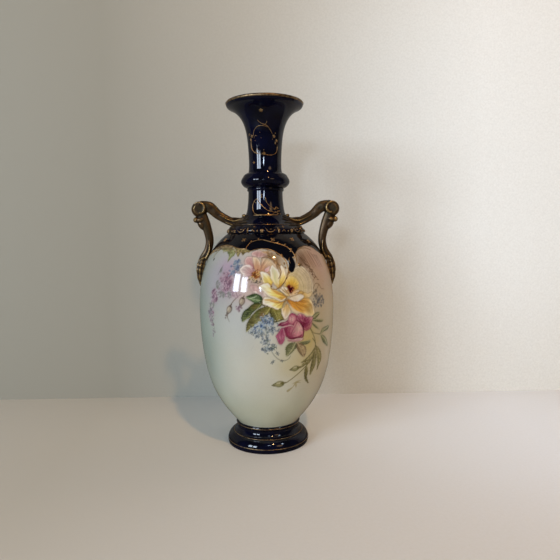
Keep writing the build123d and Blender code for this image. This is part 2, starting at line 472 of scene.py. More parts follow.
    def dab(self, place, at, long, short, tilt, colour, cover=0.9):
        """One soft oval touch of the brush."""
        window, x, y = self.around(place, np.hypot(*at) + long + 2)
        x, y = turned(x - at[0], y - at[1], -tilt)
        away = np.hypot(x / long, y / short)
        self.lay(window, colour, cover * smooth(1.25, 0.75, away))

    def floret(self, place, at, size, colour, eye, cover=0.9, petals=5):
        """A small round flower with notched petals."""
        window, x, y = self.around(place, np.hypot(*at) + size + 2)
        x, y = x - at[0], y - at[1]
        away, bearing = np.hypot(x, y), np.arctan2(y, x) + at[0]
        edge = size * (0.55 + 0.45 * np.abs(np.cos(petals / 2 * bearing)) ** 0.7)
        shade = np.asarray(colour) * (0.72 + 0.36 * smooth(0, 1, away / edge))[..., None]
        self.lay(window, shade, cover * smooth(0.4, -0.35, away - edge))
        self.lay(window, eye, cover * smooth(0.35 * size, 0.1 * size, away))

    def cluster(self, place, right, up, count, size, colours, eye, cover=0.8, tilt=0.0):
        """Small flowers scattered over an oval, thickest in its middle."""
        for _ in range(count):
            away, bearing = rng.random() ** 0.6, rng.random() * 2 * pi
            spot = turned(right * away * cos(bearing), up * away * sin(bearing), tilt)
            tone = pick(colours)
            self.floret(place, spot, size * (0.7 + 0.6 * rng.random()), tone, eye, cover)


def pick(tones):
    """One of these colours, at random."""
    return tones[rng.integers(len(tones))]


def turned(x, y, tilt):
    """Coordinates turned anticlockwise by this many degrees."""
    c, s = cos(radians(tilt)), sin(radians(tilt))
    return x * c - y * s, x * s + y * c


def gaps(x, y, starts, step):
    """Each point's distance from each segment, and how far right of and up from its start it is."""
    right, up = x[..., None] - starts[:, 0], y[..., None] - starts[:, 1]
    share = np.clip((right * step[:, 0] + up * step[:, 1]) / (step**2).sum(1), 0, 1)
    return np.hypot(right - share * step[:, 0], up - share * step[:, 1]), right, up


def inside(x, y, curve):
    """How far inside a closed curve each point is, in mm; negative outside it."""
    step = np.roll(curve, -1, 0) - curve
    gap, px, py = gaps(x, y, curve, step)
    gap = gap.min(-1)
    rise = np.where(step[:, 1] == 0, 1e-9, step[:, 1])
    crosses = ((py < 0) != (py < step[:, 1])) & (px < step[:, 0] * py / rise)
    return np.where(crosses.sum(-1) % 2 == 1, gap, -gap)


# ---- The painting ------------------------------------------------------------------------
WHITE = (250, 247, 236)
LEAF_GREENS = ((36, 46, 22), (98, 112, 56), (160, 168, 98))
OLIVES = ((48, 48, 18), (122, 118, 50), (172, 168, 86))
SUNNY = ((204, 140, 26), (240, 216, 104), (252, 246, 212), (124, 88, 30))
FRESH_GREENS = ((34, 52, 30), (98, 124, 78), (168, 190, 142))
SAGES = ((86, 92, 62), (136, 140, 96), (196, 196, 150))
BLUES = ((86, 114, 152), (122, 148, 172), (156, 174, 184), (58, 84, 122), (106, 140, 156))
LILACS = ((150, 112, 130), (174, 144, 158), (118, 82, 102), (192, 168, 180), (162, 128, 144))
DUSKS = ((138, 124, 136), (118, 122, 126), (156, 146, 152))

# Cobalt comes down to these heights, at these angles; the back is scalloped
COBALT_EDGE = [
    (-100, 186), (-90, 189), (-81, 193.4), (-71, 196.7), (-60, 199.5), (-50, 200.9), (-41, 200.6),
    (-29.5, 198.2), (-21, 197.8), (-15, 195.6), (-5, 197.9), (8, 195.7), (14, 191.5), (18, 190), (22, 190),
    (26, 190), (28.5, 193), (33, 196.8), (38.5, 198.7), (46, 199.7), (55, 198.5), (62, 195.2), (70, 191.5),
    (80, 191), (96, 194), (118, 199), (140, 192), (160, 198), (180, 190), (200, 198), (220, 192),
    (242, 199), (260, 186),
]
YELLOW_ROSE = (18.8, 162.4)
PINK_ROSE = (21.5, 126.7)
DUSTY_ROSE = (-8.9, 172.8)
DUSTY_HEART = (0.5, 2.0)  # hearts and feet are mm right of and up from their rose's place
YELLOW_HEART, YELLOW_FOOT = (0.5, 0.5), (-2.5, -8.5)
LEAVES = (-8.0, 144.0)


def paint_ground(canvas):
    """The ground: green at the left, lavender above it, tan at the right, cream below, with painted shade
    darkening its left and right sides.
    """
    angle, height = np.meshgrid(canvas.angles, canvas.heights)
    canvas.colour[:] = (218, 219, 203)

    def tint(colour, strength):
        canvas.colour[:] = blend(canvas.colour, colour, strength)

    middle = np.exp(-(((height - 125) / 62) ** 2))
    left = np.maximum(smooth(-22, -70, angle), smooth(205, 258, angle))
    # Pale green at the left, laid darker than the ground's own green as painted shade on that side.
    tint((158, 176, 160), 0.9 * left * (0.35 + 0.65 * middle))
    tint((202, 210, 208), 0.7 * np.exp(-(((angle + 18) / 26) ** 2) - ((height - 132) / 26) ** 2))
    tint((176, 172, 186), 0.9 * np.exp(-(((angle + 38) / 26) ** 2) - ((height - 172) / 26) ** 2))
    tint((216, 176, 152), 0.9 * smooth(30, 56, angle) * smooth(128, 172, height) * smooth(150, 90, angle))
    tint((222, 200, 156), 0.7 * smooth(12, 60, angle) * smooth(150, 90, angle) * middle)
    tint((214, 218, 188), 0.6 * smooth(78, 40, height))
    tint((234, 222, 196), 0.7 * smooth(34, 58, angle) * smooth(150, 90, angle) * smooth(118, 84, height))
    tint((214, 200, 206), 0.6 * np.exp(-(((angle - 180) / 40) ** 2) - ((height - 160) / 36) ** 2))
    cloud = grain(angle * 1.15, height, 18) - 0.5
    # Painted shade: the left and right sides are darkened more than the rest, besides a slight even dimming
    # and random cloud.
    painted_side_shade = 0.04 + 0.05 * left + 0.05 * smooth(25, 60, angle) * smooth(150, 90, angle)
    canvas.colour *= (1 - painted_side_shade + 0.04 * cloud)[..., None]


def paint_back_flowers(canvas):
    """Soft colour behind the roses, and the faint lilac and blue flowers at the left."""
    canvas.wash((-35, 182), 10, 6, (186, 158, 182), 0.65)
    canvas.wash((-34, 167.5), 7, 9.5, (166, 138, 150), 0.85)
    canvas.wash((-46.5, 154.5), 4.5, 6.5, (160, 138, 150), 0.75)
    canvas.wash((-50, 139), 4.5, 5, (164, 152, 162), 0.6)
    canvas.wash((-26, 158), 9, 4, (192, 166, 176), 0.6)
    canvas.wash((-14, 158), 16, 9, (214, 186, 176), 0.7)
    canvas.wash((33, 115), 13, 20, (206, 184, 100), 0.8, tilt=18)
    canvas.wash((24, 92), 20, 15, (210, 198, 140), 0.5)
    lilac_eye = (104, 58, 92)
    canvas.cluster((-34, 168), 6.2, 9, 62, 1.5, LILACS, lilac_eye, 0.55)
    canvas.cluster((-46.8, 154.5), 4.4, 6.5, 34, 1.35, LILACS[:3], lilac_eye, 0.55)
    canvas.cluster((-39, 160), 5, 4, 12, 1.3, LILACS[1:4], lilac_eye, 0.45)
    tones = ((104, 70, 96), (128, 92, 116), (206, 184, 198), (96, 84, 96), (188, 160, 176))
    for place, right, up, count in (
        ((-34, 167.5), 6.5, 9, 120), ((-46.5, 154.5), 4.2, 6, 60), ((-50, 139), 4, 4.5, 34),
        ((-30, 159), 7, 3.5, 34), ((-49.5, 130), 3, 3.5, 16), ((-26, 180), 4, 6, 40),
    ):
        for _ in range(count):
            spot = (0.55 * right * rng.normal(), 0.55 * up * rng.normal())
            canvas.dab(place, spot, 1.2, 0.33, 180 * rng.random(), pick(tones), 0.6)
    for place, tilt in (
        ((-44.5, 167), 60), ((-43.5, 163.5), 100), ((-38.3, 157.7), 20), ((-30.7, 157.5), -20),
        ((-42.2, 178.5), 70), ((-36, 156), 80), ((-51, 146), 60), ((-47.5, 147), 110),
    ):
        canvas.dab(place, (0, 0), 2.6, 1.5, tilt, (134, 138, 130), 0.7)
        rib = [turned(-2.6, 0, tilt), turned(0, 0.3, tilt), turned(2.8, 0, tilt)]
        canvas.stroke(place, rib, [0.3, 0.6, 0.3], (92, 96, 88), 0.7)
    open_florets = (
        (-34.5, 172), (-38, 175.5), (-31, 167), (-36, 166), (-41, 171), (-33, 162), (-46.5, 157),
        (-44, 152.5), (-50, 149.5), (-51.5, 142), (-48.5, 139), (-53.5, 134.5), (-49, 128),
    )
    for i, place in enumerate(open_florets):
        canvas.floret(place, (0.1 * i, 0), 2.7 - 0.08 * i, LILACS[i % 5], lilac_eye, 0.6)
    canvas.cluster((-26.5, 182.5), 5.5, 7.5, 60, 1.1, BLUES, (52, 58, 96), 0.7)
    canvas.cluster((-30, 176), 4, 4, 12, 1.0, BLUES[:2], (52, 58, 96), 0.7)
    greys = ((120, 126, 116), (138, 138, 138), (152, 148, 154))
    for place, size, count in (
        ((-43, 166), 3.0, 12), ((-39, 157.5), 3.4, 14), ((-30, 157), 3.0, 12), ((-41, 178), 2.4, 5),
    ):
        canvas.cluster(place, size, 1.3 * size, count, 1.1, greys, (100, 98, 100), 0.55)
    for place, count in (
        ((-51.5, 139), 22), ((-50, 145), 10), ((-50, 130), 12), ((-47.5, 122), 5), ((-49, 117), 3),
    ):
        canvas.cluster(place, 3.4, 3.6, count, 1.05, DUSKS, (104, 94, 110), 0.6)
    canvas.stroke(
        (-50, 130), [(-1, 14), (0, 6), (3, -2), (4, -8), (2, -12)], [0.5, 0.5], (116, 124, 114), 0.6,
    )
    canvas.stroke((-43, 180), [(-2, -6), (0, -1), (2, 3)], [0.6, 1.1, 0.6], (108, 104, 106), 0.7)


def paint_right_spray(canvas):
    """The grey-blue flowers at the right, and the twigs over them."""
    for tone, count in (((112, 118, 130), 26), ((132, 126, 118), 22), ((92, 98, 108), 14)):
        canvas.cluster((46, 149), 8.5, 6.5, count, 1.2, (tone,), (96, 84, 70), 0.6)
    canvas.cluster((42, 156), 3, 4, 12, 1.1, ((108, 104, 96), (130, 120, 100)), (88, 76, 60), 0.55)
    canvas.stroke(
        (47, 163), [(-8, -3), (-4, 2), (1, 1), (4, -3), (9, -4)], [0.5, 0.9, 0.5], (116, 96, 72), 0.75,
    )
    canvas.stroke((47, 163), [(-8, -7), (-3, -3), (1, 1)], [0.5, 0.9], (116, 96, 72), 0.65)


def paint_closed_buds(canvas):
    """Two closed buds by the leaves at the left, and the small flowers near them."""
    for place, lean in (((-30.2, 143.6), 62), ((-19.2, 151.4), 70)):
        paint_rose_hip(canvas, place, lean, ((92, 78, 68), (176, 162, 138)))
    canvas.stroke((-26, 150), [(-4, -3), (0, 2), (6, 7)], [1.0, 0.6], (100, 84, 72), 0.75)
    canvas.stroke((-32, 136), [(-1, 4), (0, 0), (2, -4)], [0.6, 0.9, 0.4], (104, 96, 80), 0.7)
    canvas.cluster((-32.5, 136.5), 2.4, 2.0, 6, 1.0, ((110, 98, 92), (134, 122, 110)), (88, 76, 72), 0.65)
    canvas.cluster((-22, 145.5), 3.4, 2.8, 12, 1.2, ((150, 122, 138), (132, 108, 116)), (96, 72, 84), 0.65)
    canvas.cluster((-24, 157), 5, 3, 14, 1.3, ((176, 150, 160), (196, 176, 182)), (140, 112, 124), 0.5)


def paint_rose_hip(canvas, place, lean, colours, size=1.0):
    """A closed bud with a collar and pointed sepals, leaning this many degrees from the right."""
    dark, pale = colours
    canvas.dab(place, (0, 0), 3.7 * size, 2.8 * size, lean, dark, 0.8)
    canvas.dab(place, turned(-0.3 * size, 0.3 * size, lean), 2.9 * size, 2.1 * size, lean, pale, 0.85)
    canvas.dab(
        place, turned(-0.2 * size, 1.0 * size, lean), 2.0 * size, 0.7 * size, lean, (226, 220, 196), 0.5,
    )
    canvas.dab(place, turned(2.9 * size, 0, lean), 0.9 * size, 1.8 * size, lean, dark, 0.85)
    for spot, length, turn in (
        ((4.4, 0), 1.5, 0), ((-4.2, 0.9), 1.9, 24), ((-4.4, -0.8), 1.7, -22), ((-5.0, 0.1), 1.6, 0),
    ):
        at = turned(spot[0] * size, spot[1] * size, lean)
        canvas.dab(place, at, length * size, 0.5 * size, lean + turn, dark, 0.8)


def paint_edge_leaves(canvas):
    """Yellow-green leaves that hang from the cobalt at the upper left."""
    gilt_greens = ((86, 74, 40), (146, 134, 82), (184, 174, 118))
    soft_greens = ((88, 98, 58), (142, 150, 98), (178, 184, 138))
    leaf, stroke, dab = canvas.held((-34, 193), "leaf", "stroke", "dab")
    for outline, stalk, tip, colours in (
        (
            [(-6.5, 6.5), (-2, 5.5), (2, 3), (2.5, -1), (0, -3.5), (-3, -8), (-3.5, -2), (-7.5, 2.5)],
            (0, 7), (-5, -9), soft_greens,
        ),
        (
            [(0.5, 6.5), (5, 7.5), (8, 4), (8, 0), (7, -2.5), (4.5, 0), (2.5, 4)], (5, 7), (5, -4),
            gilt_greens,
        ),
        ([(-16.5, 5), (-12.5, 7), (-7.5, 6.5), (-6.5, 3.5), (-11, 2.5)], (-3, 6), (-12, 3), soft_greens),
        ([(7.5, 5), (10.5, 7), (17.5, 3), (13.5, 1.5), (11.5, -1), (9, 1.5)], (9, 6), (17, 3), gilt_greens),
    ):
        leaf(outline, stalk, tip, colours, 2.2, 0.15)
    for _ in range(60):
        spot = (2 + 7 * rng.normal(), 4 + 1.9 * rng.normal())
        tone = pick(((112, 92, 48), (166, 152, 96), (96, 98, 56), (190, 166, 110)))
        dab(spot, 1.3, 0.5, 180 * rng.random(), tone, 0.55)
    stroke([(6, 5), (12, 6), (18, 4), (24, 5)], [0.6, 1.3, 0.6], (128, 100, 54), 0.7)
    edge = np.array(COBALT_EDGE)
    for _ in range(240):
        angle = -84 + 46 * rng.random()
        drop = 0.4 + 3.4 * rng.random() ** 1.6
        slope = 24 * smooth(-48, -84, angle)
        tone = pick(((84, 66, 42), (122, 98, 60), (158, 134, 90), (66, 54, 38), (186, 166, 122)))
        spot = (angle, np.interp(angle, *edge.T) - drop)
        canvas.dab(spot, (0, 0), 2.4, 0.42, slope + 10 * rng.normal(), tone, 0.55)
    canvas.stroke(
        (-53, 195), [(-8, -7), (-5, -1), (0, 3), (8, 4), (16, 3)], [0.7, 1.3, 0.8], (116, 106, 66), 0.85,
    )
    canvas.stroke((-53, 195), [(-11, -8), (-8, -2), (-3, 1)], [0.5, 1.0, 0.5], (140, 130, 96), 0.6)
    canvas.dab((-58.5, 187.8), (0, 0), 1.6, 1.2, 60, (72, 72, 66), 0.85)


def paint_dusty_petals(canvas):
    """The petals of the mauve and peach rose at the upper left."""
    heart = DUSTY_HEART
    petal, stroke, wash = canvas.held(DUSTY_ROSE, "petal", "stroke", "wash")
    mauve = ((132, 76, 76), (176, 118, 120), (204, 160, 156), (98, 56, 58))
    peach = ((156, 96, 64), (204, 154, 116), (232, 206, 168), (112, 68, 48))
    pale = ((160, 104, 104), (200, 164, 162), (230, 212, 206), (120, 80, 82))
    wash(15, 12, (196, 158, 146), 0.7)
    wash(9, 7, (178, 134, 100), 0.85, -38, (13.5, 17))
    wash(5, 4, (150, 112, 66), 0.75, -45, (19, 10))
    petal(
        [(-5, -8), (-1, -7), (3.5, -9.5), (8.5, -13.5), (10.5, -18), (6.5, -20), (1.5, -15), (-3, -12.5)],
        heart, pale, shadow=0.2, line=0.25,
    )
    stroke([(-2, -12.5), (0, -11.5), (2, -12.5), (4, -15)], [0.3, 0.9, 0.4], (168, 116, 116), 0.6)
    petal(
        [
            (4.5, 13.5), (6.5, 17.5), (9.5, 19), (12.5, 16.5), (16, 13.5), (19, 8.5), (18.5, 2.5),
            (12, 2.5), (8, 3.5), (5, 6),
        ],
        heart, peach, 0.14,
    )
    petal(
        [
            (-5, 23), (-1.5, 25.5), (2.5, 25.5), (7, 24), (10.5, 21), (10, 18), (6, 19), (3, 18.5), (0, 19),
            (-4, 20.5),
        ],
        heart, mauve,
    )
    petal(
        [(8, 7), (10, 9), (12.5, 10), (12.5, 6), (10, 4.5), (8.5, 5)], heart,
        ((168, 98, 110), (190, 126, 134), (214, 168, 166), (120, 66, 76)), 0.12, line=0.3,
    )
    petal(
        [
            (-11, 15), (-9.5, 18.5), (-6.5, 19.5), (-3.5, 19), (-2.5, 15), (-1.5, 10), (-2.5, 7.5),
            (-6, 10), (-9.5, 11.5),
        ],
        heart, mauve,
    )
    petal(
        [(-3.5, 18.5), (-0.5, 19), (3, 16), (4.5, 11), (5, 7), (3, 4.5), (0, 5.5), (-2, 10), (-3, 14.5)],
        heart, peach,
    )
    petal(
        [
            (-15, 7), (-11.5, 10.5), (-6.5, 11), (-3, 8.5), (-1.5, 3.5), (-3, 1), (-6, -2), (-10, 1),
            (-13.5, 3.5),
        ],
        heart, pale, lip=0.9,
    )
    stroke([(-14.5, 7.5), (-11.5, 10), (-6.5, 11), (-3.5, 9)], [0.5, 1.2, 0.8], (244, 234, 228), 0.9)


def paint_dusty_heart(canvas):
    """Its folds, its stamens, and the shadow and dry leaf edges beside it."""
    heart = DUSTY_HEART
    stroke, dab = canvas.held(DUSTY_ROSE, "stroke", "dab")
    for share in (0.2, 0.4, 0.6, 0.8):
        start, end = turned(4.2, 0, 100 + 70 * share), turned(10.5, 0, 110 + 62 * share)
        middle = (0.5 * (start[0] + end[0]) - 0.6, 0.5 * (start[1] + end[1]))
        stroke(
            [np.add(heart, start), np.add(heart, middle), np.add(heart, end)], [0.9, 0.5, 0.2],
            (146, 88, 92), 0.45,
        )
    for turn in (35, 55, 75, 20):
        start, end = np.add(heart, turned(4, 0, turn)), np.add(heart, turned(11, 0, turn + 6))
        stroke([start, 0.5 * (start + end) + (0.4, 0.3), end], [0.9, 0.5, 0.2], (160, 104, 88), 0.4)
    dab(heart, 3.4, 3.3, 0, (138, 84, 30), 0.95)
    for _ in range(60):
        away, bearing = 1.0 + 3.9 * rng.random(), rng.random() * 2 * pi
        spot = (heart[0] + away * cos(bearing), heart[1] + away * sin(bearing))
        tone = pick(((208, 148, 62), (230, 190, 112), (96, 50, 20), (160, 84, 34)))
        dab(spot, 0.7, 0.5, degrees(bearing), tone, 0.9)
    for step in np.linspace(196, 350, 48):
        away = 4.6 + 3.2 * rng.random()
        spot = (heart[0] + away * cos(radians(step)), heart[1] + away * sin(radians(step)))
        tone = pick(((80, 76, 70), (226, 206, 160), (186, 168, 128), (120, 108, 92)))
        dab(spot, 0.8, 0.55, step, tone, 0.85)
    canvas.wash((5.5, 190.5), 7, 4.5, (112, 96, 66), 0.8, tilt=-20)
    for _ in range(46):
        along = rng.random()
        spot = (6 + 16 * along + 1.6 * rng.normal(), 24.5 - 17 * along**1.6 + 1.3 * rng.normal())
        tone = pick(((140, 98, 50), (196, 150, 96), (110, 84, 52), (222, 184, 140)))
        dab(spot, 1.5, 0.55, -30 - 45 * along + 14 * rng.normal(), tone, 0.55)


def paint_leaves(canvas):
    """The leaves to the left of and below the yellow rose."""
    leaf, stroke, wash = canvas.held(LEAVES, "leaf", "stroke", "wash")
    leaf(
        [
            (11.5, 1), (12.5, 2.5), (17.5, 2), (22, 0), (23.5, -4.5), (25.5, -8.5), (22, -10), (19, -11),
            (16.5, -11.5), (14, -9), (12, -4.5),
        ],
        (14.5, 1.5), (19.5, -11.5), OLIVES, 2.4,
    )
    leaf(
        [
            (-13, -11), (-14, -8.5), (-13.5, -5.5), (-11.5, -1.5), (-7.5, 1.5), (-3.5, 5), (0.5, 6.5),
            (4, 5.5), (4.5, 3.5), (0.5, 0.5), (-4, -3.5), (-6, -7), (-9.5, -9), (-11.5, -10.5),
        ],
        (4, 5), (-13, -11), LEAF_GREENS, 2.8,
    )
    wash(4.0, 2.2, (122, 92, 44), 0.55, 30, (-1, 3))
    leaf(
        [
            (-9.5, -20), (-9.5, -16), (-8.5, -12), (-5.5, -7), (-2, -3), (2, 0.5), (6.5, 2.5), (10.5, 3.5),
            (13.5, 2.5), (12.5, -1), (10, -4.5), (5.5, -9), (0, -13), (-5, -16.5), (-8, -19),
        ],
        (13, 2.5), (-9.5, -20), ((62, 58, 24), (138, 132, 62), (186, 182, 104)), 2.6,
    )
    wash(2.2, 3.4, (130, 76, 34), 0.6, -25, (5, -5.5))
    wash(1.8, 3.6, (84, 108, 46), 0.45, -30, (0.5, -4))
    leaf(
        [(-9.5, 11), (-6, 13), (-2, 14.5), (1.5, 14), (5, 11.5), (5.5, 8), (3.5, 6.5), (-1, 6), (-5, 8)],
        (5.5, 8.5), (-9.5, 11), FRESH_GREENS, 2.0,
    )
    stroke([(-6.5, 10), (-4, 10.5), (-1, 11.5), (0.5, 12.5)], [0.5, 1.2, 0.5], (196, 214, 176), 0.75)
    stroke([(3, 12.5), (4.5, 10), (4, 7)], [1.2, 2.4, 1.2], (34, 52, 30), 0.6)
    stroke([(4.5, 7), (5.5, 5), (7.5, 3.5)], [1.8, 2.0, 1.2], (48, 50, 22), 0.7)


def paint_yellow_back(canvas):
    """The large open rose in the middle: its broad back petal, with fine lines across it."""
    heart = YELLOW_HEART
    petal, stroke = canvas.held(YELLOW_ROSE, "petal", "stroke")
    grey = ((224, 194, 96), (222, 206, 150), (228, 216, 184), (138, 116, 80))
    petal(
        [
            (-3, 11.5), (-1.5, 14.5), (3, 16.5), (8, 19.5), (14, 20), (19, 15.5), (22.5, 10), (24.5, 3.5),
            (24.5, -3), (22, -8), (16, -10), (9.5, -8), (-1, -4.5), (-6, 2.5),
        ],
        heart, grey, 0.07, lip=0.5,
    )
    for reach in np.linspace(9.5, 22.5, 15):
        first, last = 96 - 1.6 * reach + 9 * rng.normal(), -8 - 0.5 * reach + 8 * rng.normal()
        turns = np.linspace(first, last, 5)
        line = [np.add(heart, turned((1.02 + 0.02 * rng.normal()) * reach, 0, turn)) for turn in turns]
        stroke(line, [0.2, 0.55, 0.2], pick(((122, 102, 66), (170, 148, 104))), 0.5)
        stroke(np.add(line, (-0.7, -0.2)), [0.2, 0.8, 0.3], (248, 240, 212), 0.4)


def paint_yellow_heart(canvas):
    """Its small cupped petals and its dark heart."""
    heart = YELLOW_HEART
    cream = ((206, 160, 64), (236, 214, 146), (250, 240, 208), (128, 92, 46))
    petal, stroke, dab = canvas.held(YELLOW_ROSE, "petal", "stroke", "dab")
    petal(
        [(-4, 6), (-2.5, 9), (1, 11), (5, 10), (8, 7), (9, 3), (7, -1.5), (2.5, -2.5), (-3, -1.5)], heart,
        ((186, 116, 22), (230, 186, 54), (240, 216, 120), (160, 112, 40)), 0.12, 0.15, 0.2, 0.25,
    )
    petal(
        [
            (6, -4), (9.5, -3), (14, -4), (18.5, -5.5), (23, -4.5), (21.5, -8), (17, -10), (13, -10),
            (9.5, -8),
        ],
        (4, -4), ((220, 176, 74), (226, 190, 104), (232, 210, 150), (150, 110, 56)), 0.1, 0.15, 0.3, 0.3,
    )
    petal(
        [(-10, -1.5), (-8.5, 1), (-6, 2), (-3, 0.5), (-2, -2.5), (0.5, -5), (-1, -7), (-4, -6.5), (-7, -4)],
        (2, -7), cream, 0.1, 0.3, 0.6,
    )
    petal(
        [
            (-3, -3.5), (0, -4.5), (2, -3.5), (4, -2), (6, -1.5), (9.5, -2.5), (6, -5.5), (2.5, -7),
            (-1, -6.5),
        ],
        heart, ((176, 104, 48), (216, 168, 104), (240, 216, 168), (130, 78, 36)), 0.14, 0.3, 0.5,
    )
    petal(
        [(-3, 2), (-1, 3), (0, 1), (2, 1.5), (3.5, -0.5), (2, -2.5), (0, -4), (-1.5, -1.5)], (0.5, -0.5),
        ((44, 4, 10), (74, 12, 18), (112, 34, 28), (60, 8, 12)), 0.2, 0.4, 0,
    )
    for spot, tone in (
        ((2.6, -1.0), (226, 150, 84)), ((1.2, -2.6), (214, 132, 66)), ((-2.8, -1.8), (198, 104, 50)),
        ((3.4, -3.4), (238, 196, 130)), ((-1.6, -3.9), (232, 190, 120)), ((0.8, 1.4), (206, 120, 60)),
    ):
        dab(spot, 0.9, 0.4, 50 * spot[0], tone, 0.9)
    for line in (
        [(-9, 0.5), (-6.5, -2), (-3.5, -4.5)], [(-6.5, 1.5), (-4.5, -1.5), (-2, -5)],
        [(4, -5), (7, -4), (11, -2.5)], [(10.5, -5.5), (13, -5), (11.5, -3)],
    ):
        stroke(line, [0.3, 0.8, 0.3], (134, 86, 36), 0.8)


def paint_yellow_lower(canvas):
    """Its three broad lower petals, with the folds that fan out from their foot."""
    foot = YELLOW_FOOT
    orange = ((196, 122, 12), (222, 160, 46), (242, 222, 162), (138, 92, 34))
    petal, stroke = canvas.held(YELLOW_ROSE, "petal", "stroke")
    petal(
        [
            (-3.5, -10), (1.5, -11), (9, -12), (14, -9.5), (20, -10.5), (23.5, -15.5), (25, -21),
            (26, -26.5), (19.5, -27.5), (13, -25.5), (7, -23), (2, -20.5), (-1, -16),
        ],
        foot, orange, 0.16, 0.3, 0.7,
    )
    stroke(
        [(-2.5, -13), (0, -17), (3.5, -20.5), (10, -23.5), (16.5, -26), (23, -27)], [1.2, 2.6, 2.2, 0.9],
        (240, 226, 194), 0.85,
    )
    stroke([(4, -15), (8.5, -19), (14.5, -21.5)], [0.4, 1.4, 0.4], (186, 112, 30), 0.5)
    stroke([(16, -11.5), (21.5, -16.5), (23, -22.5)], [0.6, 1.8, 0.6], (198, 158, 88), 0.7)
    petal(
        [
            (-9, -18.5), (-6.5, -16), (-4, -13.5), (-1.5, -17), (-0.5, -22), (-3.5, -26), (-6, -27.5),
            (-8.5, -23.5),
        ],
        foot, ((204, 136, 44), (232, 196, 120), (246, 232, 204), (132, 92, 48)), 0.12, 0.3, 0.8,
    )
    petal(
        [
            (-25.5, -11.5), (-24.5, -8), (-22, -7), (-16.5, -8.5), (-11.5, -10.5), (-8.5, -12), (-4, -10),
            (-6, -14), (-9, -17), (-13, -18.5), (-17, -17), (-21, -15), (-25, -13.5),
        ],
        foot, SUNNY, 0.14, 0.35, 1.0,
    )
    stroke([(-24, -9.5), (-19, -10), (-13.5, -11.5), (-9, -13)], [0.8, 2.0, 1.0], (222, 150, 44), 0.6)
    for line, width, tone in (
        ([(-3, -9.5), (-8, -11.8), (-13, -12.5), (-19, -11)], 1.2, (176, 108, 30)),
        ([(-4, -10.5), (-9, -13.8), (-13, -15)], 0.8, (206, 142, 50)),
        ([(-2.6, -10), (-4, -14), (-4, -19)], 0.9, (160, 100, 40)),
        ([(-1, -9), (4, -11), (10, -12.5), (15, -11)], 1.3, (170, 96, 16)),
        ([(2, -10.5), (8, -15), (14, -17.5), (20, -18)], 1.1, (190, 116, 24)),
        ([(7, -11), (13, -13.5), (19, -13.5)], 0.9, (168, 98, 22)),
    ):
        stroke(line, [0.3, width, 0.3], tone, 0.55)


def paint_yellow_left(canvas):
    """Its overlapping petals at the left, and the small front one at their foot."""
    petal, stroke = canvas.held(YELLOW_ROSE, "petal", "stroke")
    petal(
        [
            (-6, 21.5), (-4, 18), (-3, 13), (-3.5, 9), (-6.5, 4.5), (-11, 0.5), (-12, 5), (-9, 9), (-7, 15),
            (-7.5, 19.5),
        ],
        (-11, -1), SUNNY, 0.08, 0.3, 0.9,
    )
    petal(
        [
            (-26, 15.5), (-22, 15.5), (-19, 13), (-17, 10), (-15.5, 6), (-18.5, 2.5), (-23, 4), (-25, 8),
            (-25.5, 11),
        ],
        (-14, 1), SUNNY, 0.1, 0.3, 0.9,
    )
    petal(
        [
            (-14.5, 22), (-17, 18), (-17.5, 12.5), (-16.5, 8), (-14, 3.5), (-11, 1), (-10, 6), (-9, 10),
            (-9, 14), (-10.5, 18), (-13, 20.5),
        ],
        (-11, -2), ((228, 186, 84), (240, 230, 176), (240, 240, 212), (142, 108, 50)), 0.08, 0.35, 0.9,
    )
    stroke([(-13.5, 17.5), (-13, 13), (-13.5, 9), (-12.5, 5)], [0.6, 1.6, 0.8], (206, 212, 150), 0.6)
    petal(
        [
            (-28.5, 2), (-25, 4.5), (-20, 5), (-18, 2.5), (-15, 0), (-11.5, -2), (-7, -4.5), (-3.5, -8),
            (-6, -10), (-9, -11), (-12.5, -9), (-16.5, -7.5), (-21, -5.5), (-24.5, -2),
        ],
        YELLOW_FOOT, SUNNY, 0.16, 0.4, 0.9,
    )
    stroke(
        [(-23.5, -3), (-19.5, -6), (-14.5, -8), (-9, -10.5), (-5, -8.5)], [0.8, 1.8, 0.9], (248, 240, 218),
        0.85,
    )
    stroke([(-17, -0.5), (-12.5, -3.5), (-7.5, -6.5)], [0.6, 2.2, 0.8], (214, 136, 34), 0.65)
    petal(
        [
            (-4, -8), (-1, -8.5), (2.5, -7), (6, -6.5), (9.5, -5.5), (13, -7), (13.5, -8.5), (10.5, -10.5),
            (6.5, -12), (1.5, -11), (-1.5, -9.5),
        ],
        (0, -3), ((228, 190, 124), (242, 228, 198), (250, 244, 228), (134, 96, 46)), 0.06, 0.4, 0.8,
    )
    for line in (
        [(-11, -1), (-8, -3.5), (-4.5, -7)], [(-4, -8), (-6, -11.5), (-8.5, -16)],
        [(-4.5, -9.5), (-3, -12), (-1, -15.5)],
    ):
        stroke(line, [0.5, 0.9, 0.3], (112, 92, 66), 0.75)
    stroke([(-5, -11), (-6.5, -13.5), (-8, -15.5)], [0.6, 1.4, 0.4], (140, 140, 132), 0.7)


